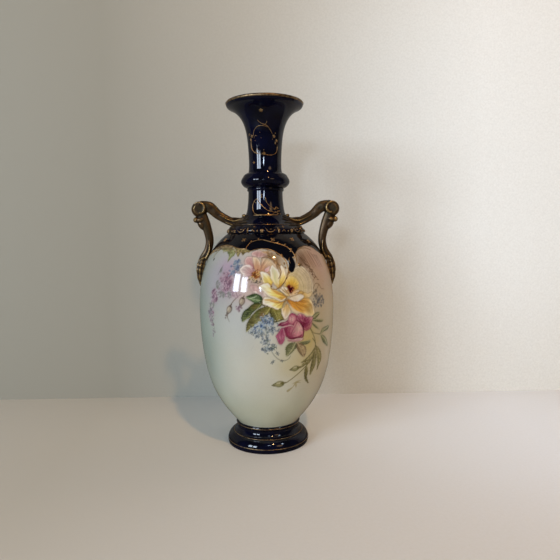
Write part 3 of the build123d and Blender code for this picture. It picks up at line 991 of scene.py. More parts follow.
def paint_pink_sepals(canvas):
    """The grey-green sepals and leaves round the pink rose."""
    leaf, stroke = canvas.held(PINK_ROSE, "leaf", "stroke")
    for outline, tip in (
        ([(18.5, 6.5), (21, 10), (25, 12), (30, 11), (27, 8), (22.5, 5.5)], (30, 11)),
        ([(19.5, 5.5), (26, 5.5), (35.5, 3.5), (33, 2), (25, 3)], (35.5, 3)),
        ([(19, 3.5), (22.5, 1.5), (28, -3), (29.5, -5), (23.5, -2), (20, 1)], (29.5, -5)),
        ([(31.5, -9.5), (33.5, -5), (39, -3.5), (48.5, -3.5), (45.5, -7), (37, -8)], (48.5, -3.5)),
        ([(32, -10), (39.5, -13), (45, -18), (48, -24.5), (37.5, -19), (33.5, -14)], (48, -24.5)),
    ):
        leaf(outline, outline[0], tip, SAGES, 2.6, 0.15)
    leaf(
        [(1.5, -14), (-4.5, -14), (-8, -17.5), (-8, -21), (-7, -26), (-2.5, -23.5), (1, -19.5)], (1.5, -14),
        (-7, -26), SAGES, 2.4, 0.25,
    )
    stroke([(2, -14.5), (2.5, -17.5), (1, -20)], [0.8, 2.2, 0.6], (66, 66, 40), 0.75)
    leaf(
        [(4.5, -14), (10, -13.5), (18, -13.5), (15, -16.5), (9.5, -16.5)], (4.5, -14), (18, -14), SAGES,
        2.6, 0.15,
    )
    leaf(
        [(3, -14), (8, -15.5), (12.5, -19.5), (13, -24.5), (10.5, -28.5), (5.5, -24), (3, -19)], (3, -14),
        (10.5, -28.5), ((92, 72, 52), (156, 136, 96), (206, 184, 140)), 2.4, 0.2,
    )


def paint_pink_petals(canvas):
    """The crimson-edged rose below the yellow one."""
    shadowed = ((118, 22, 62), (164, 66, 108), (208, 136, 156), (84, 10, 42))
    wine = ((176, 84, 120), (144, 44, 88), (120, 22, 66), (84, 10, 42))
    blush = ((240, 210, 196), (216, 146, 158), (148, 42, 84), (96, 14, 50))
    petal, stroke = canvas.held(PINK_ROSE, "petal", "stroke")
    petal(
        [(9, 0.5), (15.5, 2), (19.5, 6), (18.5, -0.5), (13.5, -4), (10, -2.5)], (8, -2),
        ((196, 120, 130), (172, 84, 106), (190, 118, 124), (100, 24, 52)), 0.12, 0.25, 0.2,
    )
    petal(
        [
            (2.5, 10.5), (4.5, 12.5), (8.5, 12), (13, 8.5), (20, 8), (18.5, 4), (13.5, 0.5), (9, 0),
            (5.5, 5), (2.5, 6.5),
        ],
        (9, 3), shadowed, 0.2, 0.3, 0.3,
    )
    stroke([(4, 8.5), (7.5, 6.5), (11, 4)], [0.6, 2.0, 0.6], (206, 138, 150), 0.7)
    petal(
        [(-15, 3), (-13.5, 5), (-8.5, 6), (-4.5, 8), (-2.5, 6), (-5, 3.5), (-9.5, 2), (-14, 2.5)], (-4, 4),
        wine, 0.14, 0.3, 0,
    )
    petal(
        [(-6, 7.5), (-4.5, 12), (-2, 13.5), (2, 11.5), (2.5, 7), (1, 3), (-1, 2), (-4.5, 3.5)], (-2.5, 8),
        blush, 0.16, 0.3, 0,
    )
    petal(
        [
            (-13.5, -1), (-10.5, 0.5), (-8.5, -2), (-9, -7.5), (-9.5, -11), (-11.5, -14), (-14, -14),
            (-16, -10), (-17, -6.5), (-15, -4),
        ],
        (-13, -8), ((214, 142, 168), (178, 84, 124), (142, 40, 84), (96, 20, 52)), 0.2, 0.3, 0.2,
    )
    petal(
        [
            (-9.5, 0.5), (-5.5, 2), (-1, 1.5), (0.5, 5), (3.5, 6), (7.5, 1.5), (10, -3.5), (8.5, -9),
            (3, -10.5), (-3, -10), (-7.5, -7), (-9.5, -3),
        ],
        (4, -1), blush, 0.18, 0.35, 0,
    )
    stroke(
        [(-8.5, -3), (-7, -7), (-2.5, -9.5), (3, -9.5), (7.5, -7.5)], [1.8, 3.0, 1.6], (136, 40, 74), 0.8,
    )
    stroke([(-6, -2.5), (-3, -6), (1, -7)], [0.8, 2.2, 0.8], (170, 86, 104), 0.6)
    stroke([(1.5, 3), (3.5, -1), (2, -5)], [1.2, 3.0, 1.2], (230, 196, 178), 0.55)
    petal(
        [
            (-7.5, -7.5), (-4.5, -10), (-0.5, -10.5), (4, -9.5), (8, -10), (9.5, -11), (6, -12.5),
            (-0.5, -12.5), (-5.5, -11.5),
        ],
        (2, -2), ((200, 128, 140), (218, 168, 166), (224, 188, 180), (96, 20, 52)), 0.1, 0.3, 0.2,
    )
    stroke([(-7.5, -7.5), (-3, -10), (2, -9.5), (7.5, -9.5)], [0.6, 1.2, 1.0], (96, 18, 46), 0.9)
    stroke([(3, 6.5), (7, 2.5), (9.5, -2.5), (9, -9.5)], [0.6, 1.4, 1.0], (92, 16, 44), 0.85)
    stroke([(-11, 1.5), (-7.5, 2), (-3.5, 2.5), (-0.5, 1.5)], [0.8, 1.3, 0.7], (236, 202, 200), 0.85)
    stroke([(-10.5, -0.5), (-9.5, -4.5), (-8.5, -7.5)], [0.6, 1.2, 0.5], (222, 172, 182), 0.7)


def paint_pink_folds(canvas):
    """Its crimson shadows, and fine lines along its petals."""
    stroke, wash = canvas.held(PINK_ROSE, "stroke", "wash")
    wash(8, 7, (128, 36, 72), 0.34, 0.0, (-1, -1))
    wash(5, 5, (120, 30, 66), 0.34, 0.0, (13, 4))
    wash(3, 7, (128, 36, 72), 0.25, 0.0, (-12.5, -7))
    for line, width in (
        ([(0.7, 0.8), (-1.5, -2), (-3, -6), (-1, -9)], 0.8), ([(-6.5, 1.2), (-8, -2), (-7, -6)], 0.9),
        ([(-3.5, 0.5), (-5, -3), (-4, -7)], 0.7), ([(3.4, 6.5), (2, 4), (0.7, 0.8)], 0.7),
        ([(3.5, 11.5), (3.8, 9), (6.5, 5.5), (8.5, 1)], 1.3), ([(8.5, 10), (11, 6.5), (13.5, 1.5)], 0.9),
        ([(6.5, 9), (10, 4), (12, -2)], 0.7), ([(-4.5, 12), (-2.5, 9), (-3, 5)], 0.6),
        ([(14, 7), (16, 3), (16, 0)], 0.6), ([(-15.5, -5), (-14.5, -9), (-13, -13)], 0.7),
        ([(-12, -2), (-12.5, -7), (-11.5, -11)], 0.8), ([(-6.4, -11.2), (0, -11.8), (6.9, -11.6)], 0.6),
    ):
        stroke(line, [0.3, width, 0.3], (116, 20, 62), 0.6)
    for line in (
        [(4.5, 4), (6.5, 0.5), (7, -4)], [(3, 3), (4.5, -1), (4, -5)], [(-12.5, 4), (-9, 4.8), (-6, 6)],
    ):
        stroke(line, [0.3, 1.0, 0.3], (244, 222, 210), 0.5)


def paint_blue_sprays(canvas):
    """Forget-me-nots below the leaves, with their trailing stem."""
    stroke, dab, wash = canvas.held(PINK_ROSE, "stroke", "dab", "wash")
    wash(6.5, 5.5, (140, 166, 188), 0.6, 0, (-26, 6))
    wash(6, 4, (150, 170, 180), 0.45, 20, (-33, 0))
    deep = ((70, 102, 150), (98, 134, 174), (54, 80, 124), (150, 178, 204))
    dull = ((92, 112, 132), (118, 138, 148), (70, 88, 112), (150, 164, 170))
    for spot, right, up, count, tones in (
        ((-26, 7), 6.5, 5.5, 46, deep), ((-33, 0.5), 5.5, 4.5, 26, deep), ((-38.5, -3), 3, 2.5, 9, dull),
        ((-24, -2), 7, 4.5, 26, dull), ((-18, 1.5), 4, 4.5, 12, dull), ((-32, -6), 5, 3.5, 12, dull),
        ((-26, -12), 4.4, 5.5, 26, dull), ((-25.5, -18.5), 5.5, 3.5, 20, dull),
        ((-19.5, -17), 3.5, 3, 9, dull),
    ):
        for _ in range(count):
            away, bearing = rng.random() ** 0.6, 2 * pi * rng.random()
            at = (spot[0] + right * away * cos(bearing), spot[1] + up * away * sin(bearing))
            tone = pick(tones)
            canvas.floret(PINK_ROSE, at, 0.75 + 0.6 * rng.random(), tone, (206, 200, 160), 0.8)
        for _ in range(count):
            at = (spot[0] + 0.62 * right * rng.normal(), spot[1] + 0.62 * up * rng.normal())
            tone = pick(((82, 96, 78), (56, 72, 98), (222, 226, 222), (70, 82, 76), (196, 206, 212)))
            dab(at, 1.1, 0.32, 180 * rng.random(), tone, 0.65)
    for spot in ((-15, -23.5), (-19, -30), (-11, -30), (-16, -22), (-20, -31.5)):
        for turn in range(0, 360, 90):
            dab(np.add(spot, turned(0.9, 0, turn + 20)), 0.8, 0.45, turn + 20, (92, 102, 104), 0.75)
    for turn in range(0, 360, 60):
        dab(np.add((-19.5, -17), turned(1.9, 0, turn)), 1.5, 0.5, turn, (84, 98, 84), 0.75)
    stroke(
        [(-22, -19), (-17, -26), (-11, -30), (-5.5, -29), (-3, -26)], [0.5, 0.7, 0.4], (104, 110, 96), 0.8,
    )
    stroke([(-26, 4), (-26, -4), (-25, -12), (-23, -20)], [0.6, 0.5, 0.4], (84, 104, 90), 0.5)


def paint_lower_spray(canvas):
    """The long stem that sweeps down to two buds, with its willow leaves."""
    leaf, stroke = canvas.held(PINK_ROSE, "leaf", "stroke")
    green, belly_radius = (108, 104, 58), 66
    willow = ((88, 84, 46), (132, 126, 76), (178, 170, 112))
    stem = [
        (20.5, -12), (24.4, -17), (24, -23), (22, -30), (14.5, -37.5), (7.5, -43), (0, -48.5), (-4, -51),
    ]
    stroke([(15.5, 0), (18.5, -4.5), (23, -12), (24.4, -17)], [0.7, 1.0], green, 0.85)
    stroke(stem, [0.9, 1.2, 1.1, 0.9, 0.9], green, 0.85)
    stroke([(17.5, -2), (21, -6.5), (25.5, -8.2), (31, -9.5)], [0.6, 0.9], green, 0.85)
    for outline, tip in (
        (
            [
                (24, -19.5), (29, -22), (33.5, -27), (35.5, -34.5), (33, -39.5), (29.5, -45), (29, -37),
                (26, -27.5),
            ],
            (30, -45),
        ),
        (
            [
                (24.5, -25.5), (26.8, -32.5), (26, -39.5), (22.8, -44.5), (20, -48.5), (19.4, -42),
                (20.6, -35), (22, -30),
            ],
            (20, -48.5),
        ),
        (
            [(23, -21.5), (19.5, -25.5), (13.5, -30), (8, -33.5), (13, -33.8), (19.5, -31.5), (22.8, -27)],
            (8, -33.5),
        ),
        ([(14.6, -37.5), (17, -43), (16.3, -49.5), (19.8, -57), (14, -51.5), (12.5, -43)], (19.8, -57)),
        ([(21.5, -29), (16, -33), (11, -34.5), (8.5, -36.5), (13, -37), (19, -34.5)], (8.5, -36.5)),
    ):
        leaf(outline, outline[0], tip, willow, 4.5, 0.12)
    for blade in ([(25, -20), (29, -28), (31, -36), (30, -43)], [(24, -28), (23.5, -36), (21, -45)]):
        stroke(blade, [0.3, 0.7, 0.3], (74, 70, 36), 0.6)
    for spot, size in (((2.5, -38.5), 0.95), ((-13, -52.5), 1.15)):
        centre = (PINK_ROSE[0] + degrees(spot[0] / belly_radius), PINK_ROSE[1] + spot[1])
        paint_rose_hip(canvas, centre, 8, ((92, 92, 50), (156, 154, 104)), size)
        stroke([(spot[0] + 3, spot[1] + 0.2), (spot[0] + 9, spot[1] + 0.9)], [2.4, 0.8], green, 0.8)
    faint = (164, 154, 106)
    stroke([(-3, -61), (1.5, -57.5), (4.5, -53.5), (10, -54)], [2.6, 0.7, 1.8, 0.4], faint, 0.8)
    stroke([(4.5, -53.5), (5, -59)], [0.6, 2.0, 0.5], faint, 0.75)
    stroke([(1, -54), (5, -52.5), (10, -51.5)], [0.6, 1.6, 0.5], faint, 0.7)


def paint_panel(canvas):
    """The pink-brown field under the right handle, hatched with brown strokes."""
    stroke, dab, wash = canvas.held((41, 187), "stroke", "dab", "wash")
    wash(14, 12, (176, 140, 120), 0.8)
    canvas.wash((56, 182), 10, 14, (200, 164, 150), 0.75)
    canvas.wash((33, 187), 5, 9, (112, 86, 62), 0.75, tilt=-14)
    for i in range(34):
        x = -11 + 0.75 * i + rng.normal() * 0.4
        sway = 1.5 + rng.random()
        line = [(x, 12 - 0.05 * (x + 2) ** 2), (x + sway, 4), (x + 3 * sway, -6 - 4 * rng.random())]
        tone = ((86, 62, 46), (120, 90, 70), (206, 172, 152))[i % 3]
        stroke(line, [0.2, 0.55, 0.2], tone, 0.55)
    for along in np.linspace(0, 1, 46):
        spot = (-7 + 12 * along + rng.normal() * 1.3, 0 - 19 * along + rng.normal() * 1.6)
        tilt = -50 + 40 * rng.normal()
        tone = pick(((76, 54, 40), (108, 80, 60), (140, 108, 86)))
        dab(spot, 1.9, 0.45, tilt, tone, 0.6)
    border = [(-13, 0), (-12.5, 5), (-9, 10), (-3, 12.5), (4, 12.5), (10, 10)]
    stroke(border, [0.8, 1.4, 0.9], (112, 82, 46), 0.85)


def paint_back_spray(canvas):
    """A smaller, plainer spray on the back."""
    leaf, stroke, wash = canvas.held((184, 150), "leaf", "stroke", "wash")
    wash(22, 20, (222, 206, 196), 0.6)
    stroke([(-20, 22), (-8, 14), (2, 4), (8, -12), (6, -30)], [0.7, 1.1, 0.6], (124, 122, 74), 0.8)
    for root, tip in (
        ((-8, 14), (-18, 8)), ((2, 4), (-9, -2)), ((8, -12), (18, -16)), ((8, -10), (-2, -22)),
        ((2, 4), (14, 14)),
    ):
        middle = np.add(root, tip) / 2
        aside = np.array((root[1] - tip[1], tip[0] - root[0])) * 0.22
        leaf([root, middle + aside, tip, middle - aside], root, tip, SAGES, 2.6, 0.15)
    mauve = ((176, 112, 120), (206, 156, 162), (228, 198, 198), (140, 92, 100))
    for turn in range(0, 360, 72):
        outline = [
            turned(x, y, turn) for x, y in ((1, 0), (5, -3.5), (9, -3.2), (10.5, 0), (9, 3.4), (5, 3.6))
        ]
        canvas.petal((182, 163), outline, (0, 0), mauve, 0.12, 0.25, 0.5)
    canvas.dab((182, 163), (0, 0), 2.4, 2.2, 0, (176, 116, 44), 0.9)
    canvas.cluster((192, 142), 7, 8, 22, 1.6, BLUES, (200, 192, 140), 0.7)


def paint_cobalt(canvas):
    """The cobalt shoulder, with the lobe that hangs down between the gold scrolls."""
    edge = np.array(COBALT_EDGE, float)
    border = climb_at(np.interp(canvas.angles, edge[:, 0], edge[:, 1]))
    above = canvas.climb[:, None] - border[None]
    canvas.lay(np.s_[:, :], COBALT, smooth(-0.4, 0.4, above))
    lobe = (20, 186)
    canvas.stroke(
        lobe, [(-8, 9), (-2, 6.5), (2, 2), (3, -3), (1.5, -7.5)], [4.5, 6, 6.4, 6.4, 5.4], COBALT, 1.0,
    )


def painted(angles, heights):
    """The whole painting, back to front."""
    canvas = Canvas(angles, heights)
    for layer in (
        paint_ground, paint_back_flowers, paint_right_spray, paint_closed_buds, paint_edge_leaves,
        paint_dusty_petals, paint_dusty_heart, paint_leaves, paint_panel, paint_yellow_back,
        paint_yellow_heart, paint_yellow_lower, paint_yellow_left, paint_blue_sprays, paint_lower_spray,
        paint_pink_sepals, paint_pink_petals, paint_pink_folds, paint_back_spray, paint_cobalt,
    ):
        layer(canvas)
    return canvas.colour


# ---- The belly ---------------------------------------------------------------------------
def fine_angles():
    """Closer columns across the front, where the painting is fine."""
    front = np.arange(-72, 75, 0.55)
    right = np.linspace(75, 150, 54)[:-1]
    back = np.linspace(150, 218, 76)[:-1]
    left = np.linspace(218, 288, 50)[:-1]
    angles = np.concatenate((front, right, back, left))
    return np.concatenate((angles[angles >= 260] - 360, angles[angles < 260]))


def make_belly():
    """The belly as a closed, lathed shell that carries the painting."""
    low, high = (corner.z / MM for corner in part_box("belly"))
    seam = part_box("foot")[1].z / MM
    coarse, fine, fine_from = 1.3, 0.65, 60  # the rows are closer where the painting is fine
    ends = (climb_at(seam), climb_at(fine_from), climb_at(high))
    climbs = np.concatenate((np.arange(*ends[:2], coarse), np.arange(*ends[1:], fine), ends[2:]))
    heights = np.interp(climbs, SIDE_UP, SIDE_Z)
    heights[0], heights[-1] = seam, high
    radii = radius_at(np.clip(heights, seam + 0.2, high - 0.2))
    angles = fine_angles()
    floor_edge, floor_dip = 5.5, 0.9
    wall_heights = np.linspace(high - 0.6, seam + floor_edge, 24)
    inner = [first_hit("belly", (0.0001, 0.0, z * MM), (1, 0, 0)) for z in wall_heights]
    ring_out, ring_in = 21.7, 17.5  # the locating ring underneath
    under = [(0.01, seam), (ring_in, seam), (ring_in, low), (ring_out, low), (ring_out, seam)]
    top = [(inner[0], high)] + list(zip(inner, wall_heights)) + [(0.01, wall_heights[-1] - floor_dip)]
    profile = under + list(zip(radii, heights)) + top
    turn = np.radians(angles)
    r, z = np.array(profile).T
    points = np.stack((r[:, None] * np.sin(turn), -r[:, None] * np.cos(turn), z[:, None] + 0 * turn), -1)
    rings, around = len(profile), len(angles)
    mesh = make_mesh("belly_glazed", points.reshape(-1, 3), ring_faces(rings, around))
    paint = np.empty((rings, around, 4))
    paint[:] = (*linear(CREAM), 1)
    start = len(under)
    paint[start : start + len(heights), :, :3] = linear(painted(angles, heights))
    layer = mesh.color_attributes.new("paint", "FLOAT_COLOR", "POINT")
    layer.data.foreach_set("color", paint.astype(np.float32).ravel())
    piece = make_piece("belly_glazed", mesh, painted_glaze())
    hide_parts("belly")


make_belly()


# ---- Raised gold ---------------------------------------------------------------------------
def half_round():
    """A half-round section: how far across and up its points are, and 1 for those of its sunk base."""
    turn = np.linspace(0, pi, 7)
    across = np.concatenate((np.cos(turn), (-0.9, 0.9)))
    up = np.concatenate((np.sin(turn), (0, 0)))
    return across, up, np.array([0.0] * 7 + [1.0, 1.0])


class Relief(Shells):
    """Raised gold strokes and dots that lie on the vase's side."""

    sunk, raised = 0.35, 0.0

    def stroke(self, places, width, rise=0.4, taper=0.25, steps=8):
        """A half-round stroke through (angle, height) places, narrowed towards its ends."""
        knots = [(angle, climb_at(height)) for angle, height in places]
        path = through(knots, steps)
        angle, climb = path.T
        height = np.interp(climb, SIDE_UP, SIDE_Z)
        along = np.gradient(np.radians(angle)) * radius_at(height), np.gradient(climb)
        along = np.array(along) / np.hypot(*along)
        share = np.linspace(0, 1, len(path))
        size = taper + (1 - taper) * np.sin(pi * share) ** 0.5
        aside, up, below = half_round()
        offset = aside[None] * size[:, None] * width / 2
        lift = self.raised + rise * size[:, None] * up[None] - 0.05 - below[None] * self.sunk
        right, above = -along[1][:, None] * offset, along[0][:, None] * offset
        self.add(on_vase(angle[:, None], height[:, None], right, above, lift))

    def dot(self, angle, height, long, short=None, tilt=0.0, rise=0.5, at=(0, 0)):
        """A half ball, or a long one leaning by this tilt."""
        short = short or long
        turn = full_turn(12)
        rings = []
        for share, lift in ((0.9, -self.sunk), (1.0, -0.05), (0.85, 0.53), (0.5, 0.87), (0.12, 1.0)):
            x, y = turned(long * share * np.cos(turn), short * share * np.sin(turn), tilt)
            raised = self.raised + (lift * rise if lift > 0 else lift)
            rings.append(on_vase(angle, height, at[0] + x, at[1] + y, raised))
        self.add(rings)

    def flower(self, angle, height, size, petals=5, tilt=90):
        """A flat flower of small balls."""
        for i in range(petals):
            turn = tilt + 360 * i / petals
            at = turned(0.62 * size, 0, turn)
            self.dot(angle, height, 0.46 * size, 0.34 * size, turn, 0.4, at)
        self.dot(angle, height, 0.28 * size, rise=0.6)

    def finish(self, name, material):
        return make_piece(name, self.mesh(name), material)


RAISED_GOLD = gold("raised_gold", (206, 168, 116), (140, 108, 68), (84, 62, 38), 0.36)
GILT = gold("gilt_line", (186, 158, 116), (112, 88, 60), COBALT, 0.34)


def neck_scrolls():
    """The broken wreath on the mouth's neck."""
    relief = Relief()
    relief.flower(-7.7, 327, 1.9)
    relief.flower(-42.7, 280.7, 1.5, 4)
    for run, width in (
        ([(-19.8, 319.5), (-11.6, 316.8), (-2, 315.4), (8.3, 313.6), (17.3, 310.2), (26, 306)], 0.75),
        ([(5.5, 318.4), (5.2, 316.9), (1, 315.4)], 0.6),
        ([(-39.5, 305.1), (-35.8, 309.4), (-25.8, 312.9), (-14.3, 314.3), (-2, 314), (8, 312.8)], 0.7),
        ([(-50, 303.5), (-52, 299), (-50.7, 294.4), (-40.8, 290.8), (-26.3, 288.7), (-8.4, 288)], 0.7),
        ([(-26, 288.7), (-31, 291.2), (-27, 293.4), (-23, 292)], 0.5),
        ([(0, 287.7), (13.6, 287), (29.4, 287.7), (41.4, 290.1), (45.9, 294.2), (44, 298)], 0.7),
        ([(-38, 303), (-31, 305.7), (-25, 305)], 0.5), ([(-51, 307), (-57, 308.5), (-60, 306)], 0.5),
    ):
        relief.stroke(run, width)
    for place, size in (
        ((-46, 305.5), 1.5), ((-51.5, 302.6), 1.1), ((30.3, 304.8), 1.5), ((41.2, 301), 1.5),
        ((36, 298.6), 1.0), ((-3, 288.4), 1.7),
    ):
        relief.flower(*place, size)
    for angle, height in ((-15.6, 308.3), (-11.8, 303.1), (-4, 292), (25, 302), (34, 308), (-33, 301)):
        relief.dot(angle, height, 0.45)
    relief.finish("neck_scrolls", RAISED_GOLD)


def lower_neck_scrolls():
    """The C-shaped scroll that curls round to a leafy tip."""
    relief = Relief()
    for run, width in (
        ([(-22.9, 245.3), (-34.5, 244.6), (-43.9, 239.8), (-41.6, 234.6), (-31, 230.9), (-16, 229.6)], 0.9),
        ([(-29, 245.2), (-14, 239.8), (-1, 235.7), (11.5, 233.4), (26.4, 232.7)], 0.85),
        ([(-0.5, 247.1), (3, 242.4), (12.4, 238.4), (25.7, 236.2), (38, 235.2)], 0.8),
        ([(-36, 229.6), (-16, 229.8), (6.5, 229.7), (24, 229.8), (36, 229.7)], 1.5),
        ([(20, 231), (31, 232.4), (42, 230.5)], 0.9), ([(28, 234.4), (34, 237.3), (42, 236.2)], 0.9),
        ([(-14.3, 250.5), (-12, 247.8), (-16, 245.6)], 0.5),
        ([(-40, 241.5), (-35, 242.4), (-31, 240.6)], 0.5),
    ):
        relief.stroke(run, width)
    for tip in ((46, 230.6), (44, 233.5), (38.5, 233.4), (33, 236.4), (27, 235.4), (36, 230.8), (41, 236)):
        relief.dot(*tip, 0.95, 0.55, 30)
    for angle, height in ((7, 231.6), (-24, 243.2), (-18, 241), (30, 232.4), (15, 235)):
        relief.dot(angle, height, 0.6)
    relief.finish("lower_neck_scrolls", RAISED_GOLD)


def collar_motifs():
    """Small gold motifs round the collar's band and on the cone above it."""
    relief = Relief()
    relief.raised = 0.5
    for turn in range(0, 360, 45):
        relief.flower(turn - 5.6, 214.2, 1.7)
        relief.stroke(
            [(turn - 1, 217), (turn + 2, 214.2), (turn + 7, 213.2), (turn + 12, 214.6), (turn + 14, 217)],
            0.8,
        )
        relief.stroke([(turn + 4.5, 215.6), (turn + 7, 215.1), (turn + 9.5, 215.6)], 0.8)
        relief.stroke([(turn + 17.5, 216.8), (turn + 18.6, 214.6), (turn + 18.2, 212.6)], 1.7, 0.6, 0.5)
        relief.flower(turn + 27, 217.6, 1.2, 4)
        relief.dot(turn + 33, 214, 0.7)
        relief.stroke([(turn + 23, 213.6), (turn + 26, 214.8), (turn + 29, 213.4)], 0.6)
    relief.finish("collar_motifs", RAISED_GOLD)


def shoulder_scrolls():
    """The two large arcs with their inner curl, their leaves and their ball."""
    relief = Relief()
    outer = [
        (-21, 198.3), (-19, 202), (-15.7, 204.2), (-5.5, 206), (6.9, 203.6), (15, 201.8), (21.8, 199.1),
        (26, 194.8), (27.9, 190.1), (27.6, 186), (26.6, 183.9),
    ]
    inner = [
        (-17.5, 194), (-15.1, 195.9), (-10, 197.4), (-4.8, 197.9), (3, 197.3), (8, 195.3), (13, 192),
        (16.5, 188), (18, 184), (18.4, 178), (17, 173), (14.3, 168.5), (11.6, 165), (8.3, 162.4), (5, 162),
        (3.2, 163.6), (3.9, 165.2),
    ]
    curl = [
        (-4.5, 187.6), (-3.4, 190), (1, 190.5), (5.5, 188.6), (8.8, 185.6), (11.1, 182), (11.9, 178),
        (11.3, 174.5), (9.2, 170.8),
    ]
    relief.stroke(outer, 1.0, taper=0.4)
    relief.stroke(inner, 1.0, taper=0.35)
    relief.stroke(curl, 0.85, taper=0.3)
    relief.dot(3.6, 164.6, 1.0, 0.8, 40)
    relief.dot(29.9, 182.9, 1.7, 1.9, rise=0.8)
    relief.dot(-20.6, 197.5, 1.0)
    for place, long, tilt in (
        ((-17, 204.6), 1.2, 60), ((-9, 206.6), 1.2, 80), ((13, 203.4), 1.4, 30), ((20.5, 201.4), 1.4, 10),
        ((25.3, 197.3), 1.5, -20), ((28.7, 191.6), 1.4, -60), ((24.6, 195.4), 1.3, 50),
        ((25.9, 189.6), 1.2, 80), ((14.6, 191.9), 1.7, 120), ((15.6, 184.5), 1.4, 100),
        ((16.2, 180.6), 1.2, 90), ((19.4, 176.6), 1.3, 60),
    ):
        relief.dot(*place, long, 0.55 * long, tilt)
    relief.stroke([(21.4, 184.5), (20.6, 187.5), (21.6, 190)], 0.7)
    for place in ((-27, 206), (8, 206.2), (32.3, 206.2), (-60, 206), (60, 204)):
        relief.flower(*place, 2.3, 4, 45)
    relief.finish("shoulder_scrolls", RAISED_GOLD)


def cobalt_border():
    """The gilt line along the cobalt's lower edge, where no scroll covers it."""
    relief = Relief()
    edge = [place for place in COBALT_EDGE if place[0] < 258]
    left = [place for place in edge if -72 < place[0] < -16]
    right = [place for place in edge if 30 < place[0] < 69]
    back = [place for place in edge if place[0] > 95]
    for run, width in ((left, 1.3), (right, 0.8), (back, 1.0)):
        relief.stroke(run, width, 0.3, 0.5)
    for angle, height in edge:
        if angle in (118, 160, 200, 242):
            relief.flower(angle, height + 4, 2.2, 4, 45)
    relief.finish("cobalt_border", RAISED_GOLD)


def gilt_ring(name, height, width, rise=0.22, material=GILT, slot="antique_gold"):
    """A line or bead round the vase, a little uneven."""
    angles = np.arange(360.0)
    aside, up, below = half_round()
    rubbed = (0.55 + 0.75 * grain(angles, height, 7.0, height))[:, None]
    lift = rise * up[None] * rubbed - 0.06 - 0.3 * below[None]
    across = aside[None] * width / 2 * (0.8 + 0.4 * rubbed)
    points = on_vase(angles[:, None], height, 0.0, across, lift)
    faces = ring_faces(len(angles), len(aside), wrap=True)
    make_piece(name, make_mesh(name, points.reshape(-1, 3), faces), material)


neck_scrolls()
lower_neck_scrolls()
collar_motifs()
shoulder_scrolls()
cobalt_border()
for ring in (
    ("foot_gilt_bead", 20.9, 0.7), ("foot_gilt_waist", 11.9, 0.65), ("foot_gilt_low", 4.2, 0.7),
    ("collar_gilt", 220.35, 0.7), ("lip_gilt", 338.2, 1.7, 0.26),
):
    gilt_ring(*ring)


# ---- Handles -----------------------------------------------------------------------------
# Drawn for the right-hand side in the handle's plane: (x, z) spines, half heights in the plane
# and half depths from front to back.
ARM = [(20, 222.6), (32.6, 223.2), (46.6, 230.2), (56, 238.2), (66, 240.6)]
LEG = [(64.8, 233), (60.2, 221.5), (56.7, 207), (58.4, 196), (63.4, 187)]
TERMINAL = [(63.6, 188), (65.3, 182), (66.4, 176), (66.8, 168), (66.5, 159.8)]
VOLUTE = (65.9, 236.5)
VOXEL = 0.38


def limb(shells, spine, heights, depths, ridged, steps=14):
    """A limb along a spine; ridged(share, bearing) swells or hollows its section."""
    path = through(spine, steps)
    along = np.gradient(path, axis=0)
    along /= np.hypot(*along.T)[:, None]
    share = np.linspace(0, 1, len(path))
    bearing = full_turn(48)
    swell = ridged(share[:, None], bearing[None])
    height = spread(heights, len(path))[:, None] * np.sin(bearing) * swell
    depth = spread(depths, len(path))[:, None] * np.cos(bearing) * swell
    x = path[:, :1] - along[:, 1:] * height
    z = path[:, 1:] + along[:, :1] * height
    shells.add(np.stack((x, depth, z), -1))


def hump(value, centre, width):
    """A bump at an angle, repeated front and back."""
    gap = np.abs((value - centre + pi) % (2 * pi) - pi)
    return np.exp(-((gap / width) ** 2))


def arm_section(share, bearing):
    """Two raised edges on each face with a hollow between them, and a low crest on top."""
    edges = sum(hump(bearing, side * pi + way * 0.85, 0.26) for side in (0, 1) for way in (-1, 1))
    hollow = sum(hump(bearing, side * pi, 0.42) for side in (0, 1))
    crest = hump(bearing, pi / 2, 0.35)
    ripple = 0.03 * np.sin(share * 34) * hollow
    fade = smooth(0.05, 0.25, share)
    return 1 + (0.07 * edges - 0.09 * hollow + 0.05 * crest + ripple) * fade - 0.02


def leg_section(share, bearing):
    """As on the arm, with the crest on the side towards the vase."""
    edges = sum(hump(bearing, side * pi + way * 0.9, 0.3) for side in (0, 1) for way in (-1, 1))
    hollow = sum(hump(bearing, side * pi, 0.4) for side in (0, 1))
    crest = hump(bearing, -pi / 2, 0.5)
    return 1 + 0.06 * edges - 0.08 * hollow + 0.05 * crest - 0.02


def leaf_section(share, bearing):
    """A ribbed leaf whose edges are notched along its length."""
    ribs = sum(hump(bearing, side * pi + way * 0.75, 0.24) for side in (0, 1) for way in (-1, 0, 1))
    notch = np.abs(np.sin(share * 15)) ** 0.6
    return 0.86 + 0.16 * ribs + 0.13 * notch * (0.4 + 0.6 * np.abs(np.cos(bearing)))


def round_button(shells, centre, radius, width, rounding, dish=0.0):
    """A round-edged disc facing front and back, dished by this much."""
    turn = full_turn(64)
    half = width / 2
    corner = np.linspace(0, pi / 2, 6)
    side = [(radius - rounding + rounding * cos(a), half - rounding + rounding * sin(a)) for a in corner]
    face = [(radius * share, half - dish * (1 - share**2)) for share in (0.7, 0.5, 0.3, 0.02)]
    front = [(r, -y) for r, y in reversed(face)] + [(r, -y) for r, y in reversed(side)]
    rings = []
    for r, y in front + side + face:
        rings.append(
            np.stack((centre[0] + r * np.cos(turn), y + 0 * turn, centre[1] + r * np.sin(turn)), -1)
        )
    shells.add(rings)


